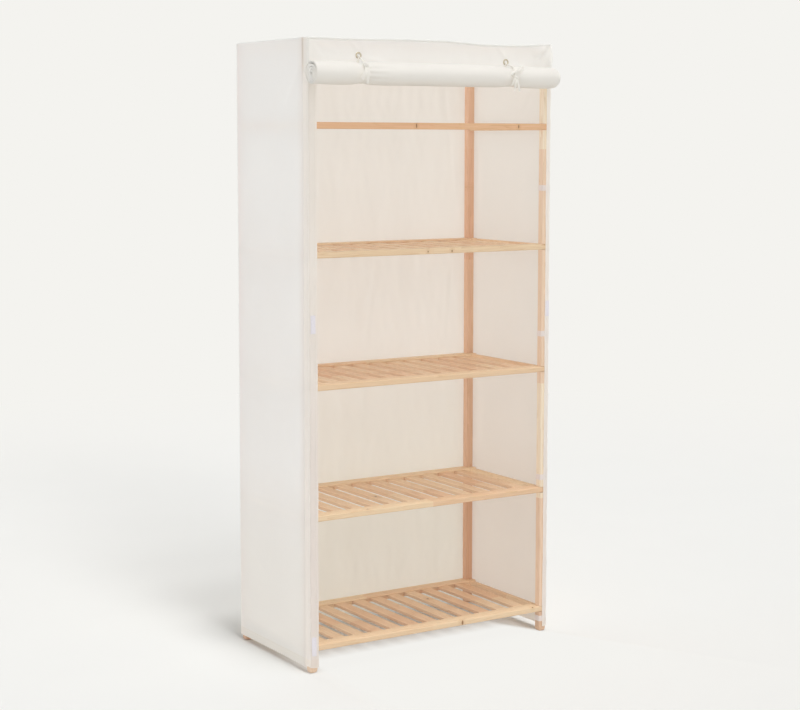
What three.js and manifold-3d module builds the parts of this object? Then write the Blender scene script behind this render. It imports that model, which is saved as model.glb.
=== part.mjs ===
// Portable fabric wardrobe: a pine frame of stacked posts and slatted shelves
// under a sewn cotton cover, with its front door rolled up and tied.
// Millimetres, +Z up, front towards -Y, the floor at Z = 0.

import * as THREE from 'three';
import { mergeVertices } from 'three/addons/utils/BufferGeometryUtils.js';
import Module from 'manifold-3d';

// Driving dimensions of the frame
const frameWidth = 790;
const frameDepth = 397;
const wardrobeHeight = 1700;
const postSide = 22;
const postEdge = 2.5;
const footLength = 58.7;
const toeHeight = 9;
const toeInset = 5;
const bayHeight = 337;
const shelfCount = 4;

// Rails and slats of a shelf
const railDepth = 40;
const railThick = 16;
const railEdge = 3;
const sideRailThick = 12;
const slatCount = 12;
const slatPitch = 61;
const slatWidth = 35;
const slatThick = 9;
const slatDrop = 4;
const slatEdge = 2;
const slatTongue = 7;

// Dowels that hold the stacked posts together
const dowelRadius = 5;
const dowelDepth = 14;

// Clothes bar and the two upper side bars
const barDrop = 239.2;
const barHeight = 18;
const barEdge = 2;
const sideBarThick = 12;

// Clearances and the overrun of a cut
const seatGap = 0.3;
const overrun = 2;

// Cover. Its front cloth turns round the front posts and is sewn to the sides behind them.
const clothThick = 1.2;
const hemHeight = 24;
const hemExtra = 0.9;
const hemRise = 15;
const seamInset = 28;
const cornerRadius = 2;
const leftReturnLow = 25;
const leftReturnTop = 25;
const rightReturnWidth = 15;
const foldDepth = 2.6;
const headerFold = 2;
const roofSag = 7;

// The front roof seam sags to the right of the middle
const frontDipDepth = 8;
const frontDipX = 216;
const frontDipReach = 154;
const topRailDrop = 9;

// Straps round the front posts
const strapHeight = 16;
const strapThick = 1.2;
const strapCount = 4;
const strapRise = 39;
const strapPitch = 419;

// Rolled-up door
const rollDrop = 96;
const rollLength = 804;
const rollRadius = 31;
const rollTurns = 5;
const rollLayerGap = 0.9;
const rollCore = 5.5;
const rollEndLength = 9;
const pinchLength = 22;
const rollSides = 10;
const rollEndShare = 0.93;
const pinchShare = 0.84;

// Eyelets and ties
const eyeletSpan = 480;
const eyeletDrop = 50;
const eyeletRadius = 8.5;
const eyeletHole = 5.2;
const eyeletBarrel = 0.7;
const eyeletLip = 1.1;
const tieRadius = 2;
const tieLean = 16;
const knotRadius = 6;
const knotDepth = 8;
const strandSplit = 2.3;
const tailLength = 44;
const tailSpread = 12;
const knotAngle = THREE.MathUtils.degToRad(139);

// Places that follow from the sizes above
const halfWidth = frameWidth / 2;
const halfDepth = frameDepth / 2;
const postX = halfWidth - postSide / 2;
const postY = halfDepth - postSide / 2;
const shelfPitch = bayHeight + railThick + 2 * seatGap;
const firstShelfZ = footLength + seatGap;
const lastShelfTop = firstShelfZ + (shelfCount - 1) * shelfPitch + railThick;
const coverGap = strapThick + 2 * seatGap;
const coverX = halfWidth + coverGap;
const coverY = halfDepth + coverGap;
const roofUnder = wardrobeHeight - clothThick;
const topRailZ = roofUnder - seatGap - topRailDrop - railThick;
const topPostLength = roofUnder - 2 * seatGap - lastShelfTop;
const barZ = wardrobeHeight - barDrop;
const headerBackY = -coverY;
const headerFrontY = headerBackY - clothThick;
const seamY = headerFrontY + seamInset;
const rollPitch = (rollRadius - rollCore) / (rollTurns - 1 / 4);
const rollStart = rollRadius + rollPitch / 4;
const rollY = headerFrontY - seatGap - rollStart;
const rollZ = wardrobeHeight - rollDrop;

const wasm = await Module();
wasm.setup();

const wardrobe = new THREE.Group();

// Finishes
const finishes = {
  pine: { color: 0xe0be94, roughness: 0.62, metalness: 0 },
  paleCloth: { color: 0xf1eee6, roughness: 0.95, metalness: 0 },
  tape: { color: 0xf4f1e8, roughness: 0.9, metalness: 0 },
  hookAndLoop: { color: 0xe3dfea, roughness: 0.95, metalness: 0 },
  brass: { color: 0xb59a72, roughness: 0.35, metalness: 1 },
};

function add(name, geometry, finish) {
  const mesh = new THREE.Mesh(geometry, new THREE.MeshStandardMaterial(finishes[finish]));
  mesh.name = name;
  wardrobe.add(mesh);
}

// A closed mesh from shared points and triangles, turned so that its faces point out
function closedGeometry(points, triangles) {
  let sixVolumes = 0;
  for (const [i, j, k] of triangles) {
    const cross = new THREE.Vector3().crossVectors(points[j], points[k]);
    sixVolumes += points[i].dot(cross);
  }
  const index = [];
  for (const [i, j, k] of triangles) {
    index.push(i, sixVolumes > 0 ? j : k, sixVolumes > 0 ? k : j);
  }
  const geometry = new THREE.BufferGeometry();
  geometry.setAttribute('position', new THREE.Float32BufferAttribute(points.flatMap((p) => p.toArray()), 3));
  geometry.setIndex(index);
  return geometry;
}

// A closed skin over sections with the same number of points. `ends` lists the triangles
// of an end in the numbers of a section's points.
function loft(sections, ends) {
  const count = sections[0].length;
  const triangles = [];
  for (let row = 0; row + 1 < sections.length; row += 1) {
    for (let i = 0; i < count; i += 1) {
      const j = (i + 1) % count;
      const low = row * count;
      const high = low + count;
      triangles.push([low + i, low + j, high + j], [low + i, high + j, high + i]);
    }
  }
  const last = (sections.length - 1) * count;
  for (const [i, j, k] of ends) triangles.push([i, k, j], [last + i, last + j, last + k]);
  return closedGeometry(sections.flat(), triangles);
}

// The end triangles of a convex outline
function fan(count) {
  return Array.from({ length: count - 2 }, (unused, i) => [0, i + 1, i + 2]);
}

// The end triangles of a ribbon whose outline runs out along one edge and back along the other
function ribbon(count) {
  const triangles = [];
  for (let i = 0; i + 1 < count / 2; i += 1) {
    const back = count - 1 - i;
    triangles.push([i, i + 1, back], [i + 1, back - 1, back]);
  }
  return triangles;
}

// The outline of a rectangle with rounded corners, anticlockwise from its lower left corner
function roundedOutline(width, height, radius, steps) {
  const outline = [];
  const quarter = Math.PI / 2;
  for (let corner = 0; corner < 4; corner += 1) {
    const centreX = (corner === 0 || corner === 3 ? -1 : 1) * (width / 2 - radius);
    const centreY = (corner < 2 ? -1 : 1) * (height / 2 - radius);
    for (let step = 0; step <= steps; step += 1) {
      const angle = (corner + 2) * quarter + (quarter * step) / steps;
      outline.push(new THREE.Vector2(
        centreX + radius * Math.cos(angle),
        centreY + radius * Math.sin(angle),
      ));
    }
  }
  return outline;
}

const edgeSteps = 2;
const axisX = new THREE.Vector3(1, 0, 0);
const axisY = new THREE.Vector3(0, 1, 0);
const axisZ = new THREE.Vector3(0, 0, 1);

// A straight timber with rounded long edges. Its outline lies across `along`.
function timber(along, width, height, edge, length) {
  const shape = new THREE.Shape(roundedOutline(width, height, edge, edgeSteps));
  const geometry = new THREE.ExtrudeGeometry(shape, { depth: length, bevelEnabled: false });
  geometry.translate(0, 0, -length / 2);
  if (along === 'x') geometry.applyMatrix4(new THREE.Matrix4().makeBasis(axisY, axisZ, axisX));
  if (along === 'y') geometry.applyMatrix4(new THREE.Matrix4().makeBasis(axisZ, axisX, axisY));
  return geometry;
}

const roundSides = 12;

function uprightCylinder(radius, low, high, x, y) {
  const geometry = new THREE.CylinderGeometry(radius, radius, high - low, roundSides);
  geometry.rotateX(Math.PI / 2);
  return geometry.translate(x, y, (low + high) / 2);
}

function block(lowX, highX, lowY, highY, lowZ, highZ) {
  const geometry = new THREE.BoxGeometry(highX - lowX, highY - lowY, highZ - lowZ);
  return geometry.translate((lowX + highX) / 2, (lowY + highY) / 2, (lowZ + highZ) / 2);
}

function toSolid(geometry) {
  const bare = geometry.clone();
  bare.deleteAttribute('normal');
  bare.deleteAttribute('uv');
  const merged = mergeVertices(bare);
  return new wasm.Manifold(new wasm.Mesh({
    numProp: 3,
    vertProperties: new Float32Array(merged.attributes.position.array),
    triVerts: new Uint32Array(merged.index.array),
  }));
}

function toGeometry(solid) {
  const mesh = solid.getMesh();
  const geometry = new THREE.BufferGeometry();
  geometry.setAttribute('position', new THREE.BufferAttribute(mesh.vertProperties, 3));
  geometry.setIndex(new THREE.BufferAttribute(mesh.triVerts, 1));
  return geometry;
}

// The first geometry with `joined` added to it and then `cuts` taken out of it
function carve(base, joined, cuts) {
  let solid = toSolid(base);
  for (const piece of joined) solid = solid.add(toSolid(piece));
  for (const cut of cuts) solid = solid.subtract(toSolid(cut));
  return toGeometry(solid);
}

// Corners of the frame
const corners = [
  { name: 'front_left', sideX: -1, sideY: -1 },
  { name: 'front_right', sideX: 1, sideY: -1 },
  { name: 'rear_left', sideX: -1, sideY: 1 },
  { name: 'rear_right', sideX: 1, sideY: 1 },
];

// A post foot: its lower end is rounded to a flat pad, its upper end takes a dowel
function footGeometry(x, y) {
  const heightShares = [0, 0.12, 0.45, 1];
  const insetShares = [1, 0.5, 0.12, 0];
  const sections = heightShares.map((share, i) => {
    const side = postSide - 2 * toeInset * insetShares[i];
    const outline = roundedOutline(side, side, postEdge + toeInset * insetShares[i] / 2, edgeSteps);
    return outline.map((p) => new THREE.Vector3(x + p.x, y + p.y, toeHeight * share));
  });
  const top = roundedOutline(postSide, postSide, postEdge, edgeSteps);
  sections.push(top.map((p) => new THREE.Vector3(x + p.x, y + p.y, footLength)));
  return carve(loft(sections, fan(top.length)), [], [socketCut(x, y, footLength)]);
}

// The round socket in the upper end of a post
function socketCut(x, y, top) {
  return uprightCylinder(dowelRadius + seatGap, top - dowelDepth - 2 * seatGap, top + overrun, x, y);
}

// The dowel of the post above: it goes down through the shelf corner into the post below
function dowel(x, y, postBottom) {
  const tip = postBottom - 2 * seatGap - railThick - dowelDepth;
  return uprightCylinder(dowelRadius, tip, postBottom + dowelDepth, x, y);
}

function postGeometry(x, y, bottom, length) {
  const post = timber('z', postSide, postSide, postEdge, length);
  return post.translate(x, y, bottom + length / 2);
}

// A bay post stands on the corner of shelf `level` and carries the next shelf
function bayPost(x, y, level) {
  const bottom = firstShelfZ + level * shelfPitch + railThick + seatGap;
  const post = postGeometry(x, y, bottom, bayHeight);
  return carve(post, [dowel(x, y, bottom)], [socketCut(x, y, bottom + bayHeight)]);
}

// A top post stands on the last shelf and carries the roof of the cover.
// The front ones have a notch, half the post deep, that the clothes bar lies in.
function topPost(x, y, sideY) {
  const bottom = lastShelfTop + seatGap;
  const post = postGeometry(x, y, bottom, topPostLength);
  const reach = postSide / 2 + overrun;
  const notch = block(x - reach, x + reach, y - reach, y, barZ - seatGap, barZ + barHeight + seatGap);
  return carve(post, [dowel(x, y, bottom)], sideY < 0 ? [notch] : []);
}

function addPosts() {
  for (const { name, sideX, sideY } of corners) {
    const x = sideX * postX;
    const y = sideY * postY;
    add(`foot_${name}`, footGeometry(x, y), 'pine');
    for (let level = 0; level + 1 < shelfCount; level += 1) {
      add(`post_${name}_bay_${level + 1}`, bayPost(x, y, level), 'pine');
    }
    add(`post_${name}_top`, topPost(x, y, sideY), 'pine');
  }
}

// Shelves
const slatZ = railThick - slatDrop - slatThick / 2;
const railInnerY = halfDepth - railDepth;

function dowelHoles(sideY, low, high) {
  return [-1, 1].map((sideX) => uprightCylinder(
    dowelRadius + seatGap, low, high, sideX * postX, sideY * postY,
  ));
}

// The front rail with the slats that are glued into it, made at the height of the floor
function slattedRail() {
  const rail = timber('x', railDepth, railThick, railEdge, frameWidth);
  rail.translate(0, -(halfDepth - railDepth / 2), railThick / 2);
  const slats = [];
  const slatStart = -(railInnerY + slatTongue);
  const slatEnd = railInnerY + slatTongue;
  for (let i = 0; i < slatCount; i += 1) {
    const slat = timber('y', slatThick, slatWidth, slatEdge, slatEnd - slatStart);
    slats.push(slat.translate((i - (slatCount - 1) / 2) * slatPitch, 0, slatZ));
  }
  return carve(rail, slats, dowelHoles(-1, -overrun, railThick + overrun));
}

// The rear rail has a groove along its front edge for the tongues of the slats
function groovedRail() {
  const rail = timber('x', railDepth, railThick, railEdge, frameWidth);
  rail.translate(0, halfDepth - railDepth / 2, railThick / 2);
  const grooveX = (slatCount - 1) / 2 * slatPitch + slatWidth / 2 + seatGap;
  const grooveEnd = railInnerY + slatTongue + seatGap;
  const halfGroove = slatThick / 2 + seatGap;
  const groove = block(
    -grooveX, grooveX, railInnerY - overrun, grooveEnd, slatZ - halfGroove, slatZ + halfGroove,
  );
  return carve(rail, [], [groove, ...dowelHoles(1, -overrun, railThick + overrun)]);
}

// A side rail stands between the front and rear rails, flush with the inside of the posts
function sideRail(sideX) {
  const rail = timber('y', railThick, sideRailThick, barEdge, 2 * (railInnerY - seatGap));
  return rail.translate(sideX * (halfWidth - postSide + sideRailThick / 2), 0, railThick / 2);
}

function addShelves() {
  for (let level = 0; level < shelfCount; level += 1) {
    const z = firstShelfZ + level * shelfPitch;
    const shelf = `shelf_${level + 1}`;
    add(`${shelf}_front_rail_and_slats`, slattedRail().translate(0, 0, z), 'pine');
    add(`${shelf}_rear_rail`, groovedRail().translate(0, 0, z), 'pine');
    add(`${shelf}_side_rail_left`, sideRail(-1).translate(0, 0, z), 'pine');
    add(`${shelf}_side_rail_right`, sideRail(1).translate(0, 0, z), 'pine');
  }
}

// Top frame: the same boards as a shelf without slats, fitted between the posts
function topRail(sideY) {
  const rail = timber('x', railDepth, railThick, railEdge, 2 * (halfWidth - postSide - seatGap));
  return rail.translate(0, sideY * (halfDepth - railDepth / 2), railThick / 2);
}

function addTopFrame() {
  add('top_rail_front', topRail(-1).translate(0, 0, topRailZ), 'pine');
  add('top_rail_rear', topRail(1).translate(0, 0, topRailZ), 'pine');
  add('top_side_rail_left', sideRail(-1).translate(0, 0, topRailZ), 'pine');
  add('top_side_rail_right', sideRail(1).translate(0, 0, topRailZ), 'pine');
}

// The clothes bar lies half-lapped in the notches of the two front posts
function clothesBar() {
  const bar = timber('x', postSide, barHeight, barEdge, frameWidth);
  bar.translate(0, -postY, barZ + barHeight / 2);
  const lapX = halfWidth - postSide - seatGap;
  const cuts = [-1, 1].map((side) => block(
    Math.min(side * lapX, side * (halfWidth + overrun)),
    Math.max(side * lapX, side * (halfWidth + overrun)),
    -(postY + seatGap),
    -(postY - postSide),
    barZ - overrun,
    barZ + barHeight + overrun,
  ));
  return carve(bar, [], cuts);
}

function addBars() {
  add('clothes_bar', clothesBar(), 'pine');
  for (const [name, side] of [['left', -1], ['right', 1]]) {
    const bar = timber('y', barHeight, sideBarThick, barEdge, frameDepth - 2 * (postSide + seatGap));
    bar.translate(side * postX, 0, barZ + barHeight / 2);
    add(`upper_side_bar_${name}`, bar, 'pine');
  }
}

// Evenly spread lines from 0 to 1 across a panel
function evenLines(count) {
  return Array.from({ length: count + 1 }, (unused, i) => i / count);
}

// A panel of cloth over a grid of lines. `place(u, v)` gives a point on its inner face,
// `outward(u)` the outward direction there and `thickness(v)` its thickness at height v.
function clothPanel(uLines, vLines, place, outward, thickness) {
  const columns = uLines.length;
  const rows = vLines.length;
  const points = [];
  for (const side of [0, 1]) {
    for (const v of vLines) {
      for (const u of uLines) {
        points.push(place(u, v).addScaledVector(outward(u), side * thickness(v)));
      }
    }
  }
  const triangles = [];
  const skin = columns * rows;
  for (let row = 0; row + 1 < rows; row += 1) {
    for (let column = 0; column + 1 < columns; column += 1) {
      const a = row * columns + column;
      const b = a + 1;
      const c = a + columns + 1;
      const d = a + columns;
      triangles.push([a, c, b], [a, d, c]);
      triangles.push([skin + a, skin + b, skin + c], [skin + a, skin + c, skin + d]);
    }
  }
  const rim = [];
  for (let column = 0; column + 1 < columns; column += 1) rim.push(column);
  for (let row = 0; row + 1 < rows; row += 1) rim.push(row * columns + columns - 1);
  for (let column = columns - 1; column > 0; column -= 1) rim.push((rows - 1) * columns + column);
  for (let row = rows - 1; row > 0; row -= 1) rim.push(row * columns);
  rim.forEach((a, i) => {
    const b = rim[(i + 1) % rim.length];
    triangles.push([a, b, skin + b], [a, skin + b, skin + a]);
  });
  return closedGeometry(points, triangles);
}

const panelHeight = roofUnder - seatGap - hemRise;
const stripHeight = rollZ - seatGap - hemRise;

// Rows of a hanging panel: the hem has a step of its own
function hangingRows(count, height) {
  const hemShare = hemHeight / height;
  const stepShare = 0.02;
  const above = hemShare * (1 + stepShare);
  return [0, hemShare, above, ...evenLines(count).slice(1).map((v) => above + v * (1 - above))];
}

function hemThickness(height) {
  return (v) => (v <= hemHeight / height ? clothThick + hemExtra : clothThick);
}

// Soft upright folds: none along the seams, deepest across the middle of a panel
function foldSwell(u, v, folds, leanShare, phaseShare) {
  const edge = Math.sin(Math.PI * u) ** 2;
  const fall = 1 - v ** 6;
  const wave = 0.5 + 0.5 * Math.sin(2 * Math.PI * (folds * u + leanShare * v + phaseShare));
  return foldDepth * edge * fall * wave;
}

function sidePanel(side) {
  const frontY = seamY + seatGap;
  const depth = coverY + clothThick - frontY;
  const folds = 2.5;
  const leanShare = 0.7;
  const phaseShare = side < 0 ? 0.1 : 0.45;
  return clothPanel(evenLines(12), hangingRows(16, panelHeight), (u, v) => new THREE.Vector3(
    side * (coverX + foldSwell(u, v, folds, leanShare, phaseShare)),
    frontY + u * depth,
    hemRise + v * panelHeight,
  ), () => axisX.clone().multiplyScalar(side), hemThickness(panelHeight));
}

function backPanel() {
  const width = 2 * (coverX - seatGap);
  const folds = 4.5;
  const leanShare = 0.5;
  const phaseShare = 0.3;
  return clothPanel(evenLines(16), hangingRows(14, panelHeight), (u, v) => new THREE.Vector3(
    -width / 2 + u * width,
    coverY + foldSwell(u, v, folds, leanShare, phaseShare),
    hemRise + v * panelHeight,
  ), () => axisY, hemThickness(panelHeight));
}

// How far the front roof seam lies below the roof's level
function frontDip(x) {
  const away = THREE.MathUtils.clamp((x - frontDipX) / frontDipReach, -1, 1);
  return frontDipDepth * (1 - away ** 4);
}

// The inner face of the cloth that turns round a front post, from the seam on the side to
// the corner: places across the floor with the outward direction at each
function cornerStations(side) {
  const stations = [{ x: side * coverX, y: seamY, out: new THREE.Vector3(side, 0, 0) }];
  const arcSteps = 3;
  for (let step = 0; step <= arcSteps; step += 1) {
    const angle = (Math.PI / 2) * (step / arcSteps);
    const out = new THREE.Vector3(side * Math.cos(angle), -Math.sin(angle), 0);
    stations.push({
      x: side * (coverX - cornerRadius) + cornerRadius * out.x,
      y: -(coverY - cornerRadius) + cornerRadius * out.y,
      out,
    });
  }
  return stations;
}

// Places across the flat front between the two posts, shared by the roof and the header
const frontColumns = 24;
const frontStations = evenLines(frontColumns).map((t) => ({
  x: (2 * t - 1) * (halfWidth - postSide - seatGap),
  y: -coverY,
  out: new THREE.Vector3(0, -1, 0),
}));

// The roof lies on the four posts and sags between them
function roofPanel() {
  const width = 2 * (coverX + clothThick);
  const depth = coverY + clothThick - headerFrontY;
  const flatDepth = clothThick + coverY - railInnerY + seatGap;
  const flatShare = flatDepth / depth;
  const crownPower = 0.7;
  const cornerShare = (clothThick + cornerRadius) / width;
  const inner = frontStations.map((station) => station.x / width + 1 / 2);
  const uLines = [0, cornerShare, ...inner, 1 - cornerShare, 1];
  const vLines = [0, ...evenLines(5).map((t) => flatShare + t * (1 - 2 * flatShare)), 1];
  return clothPanel(uLines, vLines, (u, v) => {
    const x = (u - 1 / 2) * width;
    const across = THREE.MathUtils.clamp((halfWidth - railDepth - x) / (2 * (halfWidth - railDepth)), 0, 1);
    const deep = THREE.MathUtils.clamp((v - flatShare) / (1 - 2 * flatShare), 0, 1);
    const sag = roofSag * Math.sin(Math.PI * across) ** crownPower * Math.sin(Math.PI * deep);
    const dip = frontDip(x) * (1 - v) ** 2;
    return new THREE.Vector3(x, headerFrontY + v * depth, roofUnder - sag - dip);
  }, () => axisZ, () => clothThick);
}

// The strips of the front cloth that turn round the front posts
function frontReturn(side, lowWidth, topWidth) {
  const corner = cornerStations(side);
  const stations = [...corner, corner[corner.length - 1]];
  const last = stations.length - 1;
  const lines = stations.map((station, i) => i);
  return clothPanel(lines, hangingRows(8, stripHeight), (i, v) => {
    const width = lowWidth + (topWidth - lowWidth) * v - clothThick - cornerRadius;
    const inward = i === last ? side * width : 0;
    return new THREE.Vector3(stations[i].x - inward, stations[i].y, hemRise + v * stripHeight);
  }, (i) => stations[i].out, hemThickness(stripHeight));
}

// The upper part of the door hangs from the roof seam down behind the roll
function doorHeader() {
  const stations = [...cornerStations(-1), ...frontStations, ...cornerStations(1).reverse()];
  const lines = stations.map((station, i) => i);
  const calmLength = 50;
  const folds = 6;
  const panel = clothPanel(lines, evenLines(4), (i, v) => {
    const { x, y, out } = stations[i];
    const fromEyelet = Math.abs(Math.abs(x) - eyeletSpan / 2);
    const calm = THREE.MathUtils.clamp(fromEyelet / calmLength - 1, 0, 1);
    const across = THREE.MathUtils.clamp(x / frameWidth + 1 / 2, 0, 1);
    const wave = 0.5 + 0.5 * Math.cos(2 * Math.PI * folds * across);
    const edge = Math.sin(Math.PI * across) * Math.sin(Math.PI * v) ** 2;
    const height = roofUnder - seatGap - frontDip(x) - rollZ;
    const low = rollZ + v * height;
    const swell = low < rollZ + rollRadius ? 0 : headerFold * calm * wave * edge;
    return new THREE.Vector3(x, y, low).addScaledVector(out, swell);
  }, (i) => stations[i].out, () => clothThick);
  const holes = [-1, 1].map((side) => {
    const radius = eyeletHole + eyeletBarrel + seatGap;
    const depth = clothThick + 2 * overrun;
    const hole = new THREE.CylinderGeometry(radius, radius, depth, roundSides);
    return hole.translate(side * eyeletSpan / 2, headerBackY - clothThick / 2, wardrobeHeight - eyeletDrop);
  });
  return carve(panel, [], holes);
}

function addCover() {
  add('cover_side_left', sidePanel(-1), 'paleCloth');
  add('cover_side_right', sidePanel(1), 'paleCloth');
  add('cover_back', backPanel(), 'paleCloth');
  add('cover_roof', roofPanel(), 'paleCloth');
  add('cover_front_return_left', frontReturn(-1, leftReturnLow, leftReturnTop), 'paleCloth');
  add('cover_front_return_right', frontReturn(1, rightReturnWidth, rightReturnWidth), 'paleCloth');
  add('door_header', doorHeader(), 'paleCloth');
}

// The rolled-up door: a spiral winding that starts at its back, runs down, forward and up,
// with its turns kept apart by a small gap, drawn in where the ties go round it
function rollOutline() {
  const layer = rollPitch - rollLayerGap;
  const steps = Math.round(rollTurns * rollSides);
  const outer = [];
  const inner = [];
  let leastGap = Infinity;
  for (let i = 0; i <= steps; i += 1) {
    const turns = i / rollSides;
    const angle = -2 * Math.PI * turns;
    const radius = rollStart - rollPitch * turns;
    outer.push(new THREE.Vector2(Math.cos(angle), Math.sin(angle)).multiplyScalar(radius));
    inner.push(new THREE.Vector2(Math.cos(angle), Math.sin(angle)).multiplyScalar(radius - layer));
    if (i >= rollSides) {
      leastGap = Math.min(leastGap, inner[i - rollSides].distanceTo(outer[i]));
    }
  }
  console.log(`rolled door: least gap between its turns ${(leastGap * pinchShare).toFixed(2)} mm`);
  return [...outer, ...inner.reverse()];
}

// Each tie goes round the roll a little to the left of its eyelet
function tieX(side) {
  return side * eyeletSpan / 2 - tieLean;
}

function rollStations() {
  const end = rollLength / 2;
  const drawnIn = [
    [-pinchLength - tieRadius * 2, 1],
    [-tieRadius * 2, pinchShare],
    [tieRadius * 2, pinchShare],
    [pinchLength + tieRadius * 2, 1],
  ];
  const ties = [-1, 1].flatMap((side) => drawnIn.map(([offset, share]) => [tieX(side) + offset, share]));
  return [[-end, rollEndShare], [rollEndLength - end, 1], ...ties, [end - rollEndLength, 1], [end, rollEndShare]];
}

function rolledDoor() {
  const outline = rollOutline();
  const sections = rollStations().map(([x, share]) => outline.map(
    (p) => new THREE.Vector3(x, rollY + p.x * share, rollZ + p.y * share),
  ));
  return loft(sections, ribbon(outline.length));
}

// A point at a radius and an angle from the middle of the roll: 0 is its back, a quarter turn its top
function aroundRoll(x, radius, angle) {
  return new THREE.Vector3(x, rollY + radius * Math.cos(angle), rollZ + radius * Math.sin(angle));
}

// The radius that a tie follows round the roll: it starts behind the outer turn and winds in with it
function bandRadius(angle) {
  const turns = Math.max(0, -angle / (2 * Math.PI));
  return (rollStart - rollPitch * turns) * pinchShare + seatGap + tieRadius;
}

const tubeSides = 8;

function tube(points, steps) {
  const section = new THREE.Shape();
  section.absarc(0, 0, tieRadius, 0, 2 * Math.PI, false);
  return new THREE.ExtrudeGeometry(section, {
    steps,
    curveSegments: tubeSides / 2,
    extrudePath: new THREE.CatmullRomCurve3(points),
  });
}

function knot(centre) {
  const ball = new THREE.SphereGeometry(knotRadius, tubeSides, tubeSides / 2);
  ball.scale(1, knotDepth / (2 * knotRadius), 1);
  return ball.translate(centre.x, centre.y, centre.z);
}

// A tie: its two ends come out through the eyelet. One goes over the roll to the knot, the
// other goes down behind the roll and round under it, and the tails hang from the knot.
function tie(side) {
  const roundX = tieX(side);
  const eyeX = side * eyeletSpan / 2;
  const eyeZ = wardrobeHeight - eyeletDrop;
  const lastRadius = bandRadius(knotAngle - 2 * Math.PI);
  const overRoll = lastRadius + tieRadius;
  const knotCentre = aroundRoll(roundX, lastRadius - tieRadius + knotRadius, knotAngle);
  const innerKnot = new THREE.Vector3(eyeX, headerBackY + eyeletLip + seatGap + knotDepth / 2, eyeZ);
  const lipY = headerFrontY - seatGap - eyeletLip;
  const crestShare = 0.62;
  const slopeShare = 0.82;
  const front = [
    innerKnot.clone().setX(eyeX + strandSplit),
    new THREE.Vector3(eyeX + strandSplit, headerBackY, eyeZ),
    new THREE.Vector3(eyeX + strandSplit, lipY, eyeZ),
    new THREE.Vector3(eyeX + strandSplit, lipY - 3 * tieRadius, eyeZ - 2 * tieRadius),
    aroundRoll((eyeX + roundX) / 2, overRoll + 2 * tieRadius, knotAngle * crestShare),
    aroundRoll(roundX, overRoll, knotAngle * slopeShare),
    knotCentre,
  ];
  const band = [
    innerKnot.clone().setX(eyeX - strandSplit),
    new THREE.Vector3(eyeX - strandSplit, headerBackY, eyeZ),
    new THREE.Vector3(eyeX - strandSplit, lipY, eyeZ),
    new THREE.Vector3(eyeX - strandSplit, lipY - 2 * tieRadius, eyeZ - 3 * tieRadius),
  ];
  const bandPoints = 11;
  const firstAngle = Math.PI / 9;
  const lastAngle = knotAngle - 2 * Math.PI;
  for (let i = 0; i <= bandPoints; i += 1) {
    const angle = firstAngle + (lastAngle - firstAngle) * i / bandPoints;
    band.push(aroundRoll(roundX, bandRadius(angle), angle));
  }
  const dropShares = [0.3, 0.6, 1];
  const tailY = rollY - rollStart - seatGap - tieRadius;
  const tails = [-1, 1].map((way) => tube([knotCentre, ...dropShares.map((share) => new THREE.Vector3(
    roundX + way * tailSpread * share,
    tailY,
    knotCentre.z - tailLength * share,
  ))], 4));
  return carve(tube(band, 21), [tube(front, 8), knot(knotCentre), knot(innerKnot), ...tails], []);
}

// An eyelet: two brass lips joined by a barrel that goes through the cloth
function eyelet(side) {
  const barrel = eyeletHole + eyeletBarrel;
  const clear = seatGap;
  const half = clothThick / 2 + clear;
  const shoulderShare = 0.5;
  const shoulder = half + eyeletLip * shoulderShare;
  const crown = half + eyeletLip;
  const crownRadius = (eyeletRadius + barrel) / 2;
  const profile = [
    [eyeletHole, -shoulder],
    [crownRadius, -crown],
    [eyeletRadius, -half],
    [barrel, -half],
    [barrel, half],
    [eyeletRadius, half],
    [crownRadius, crown],
    [eyeletHole, shoulder],
    [eyeletHole, -shoulder],
  ].map(([radius, height]) => new THREE.Vector2(radius, height));
  const ring = new THREE.LatheGeometry(profile, 2 * roundSides);
  return ring.translate(side * eyeletSpan / 2, headerBackY - clothThick / 2, wardrobeHeight - eyeletDrop);
}

function addDoor() {
  add('door_roll', rolledDoor(), 'paleCloth');
  for (const [name, side] of [['left', -1], ['right', 1]]) {
    add(`tie_${name}`, tie(side), 'tape');
    add(`eyelet_${name}`, eyelet(side), 'brass');
  }
}

// Straps that hold the cover to the front right post
function strap(x, y, z) {
  const inner = postSide + 2 * seatGap;
  const outer = inner + 2 * strapThick;
  const shape = new THREE.Shape(roundedOutline(outer, outer, postEdge + strapThick, edgeSteps));
  shape.holes.push(new THREE.Path(roundedOutline(inner, inner, postEdge, edgeSteps)));
  const geometry = new THREE.ExtrudeGeometry(shape, { depth: strapHeight, bevelEnabled: false });
  return geometry.translate(x, y, z - strapHeight / 2);
}

function addStraps() {
  for (let i = 0; i < strapCount; i += 1) {
    add(`post_strap_${i + 1}`, strap(postX, -postY, strapRise + i * strapPitch), 'hookAndLoop');
  }
}

addPosts();
addShelves();
addTopFrame();
addBars();
addCover();
addDoor();
addStraps();

// The middle of the wardrobe's depth, roll included, stands over the origin
const extent = new THREE.Box3().setFromObject(wardrobe);
wardrobe.position.y = -(extent.min.y + extent.max.y) / 2;

export default wardrobe;
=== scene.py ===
import math

import bpy
import numpy as np
from mathutils import Matrix, Vector


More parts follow.
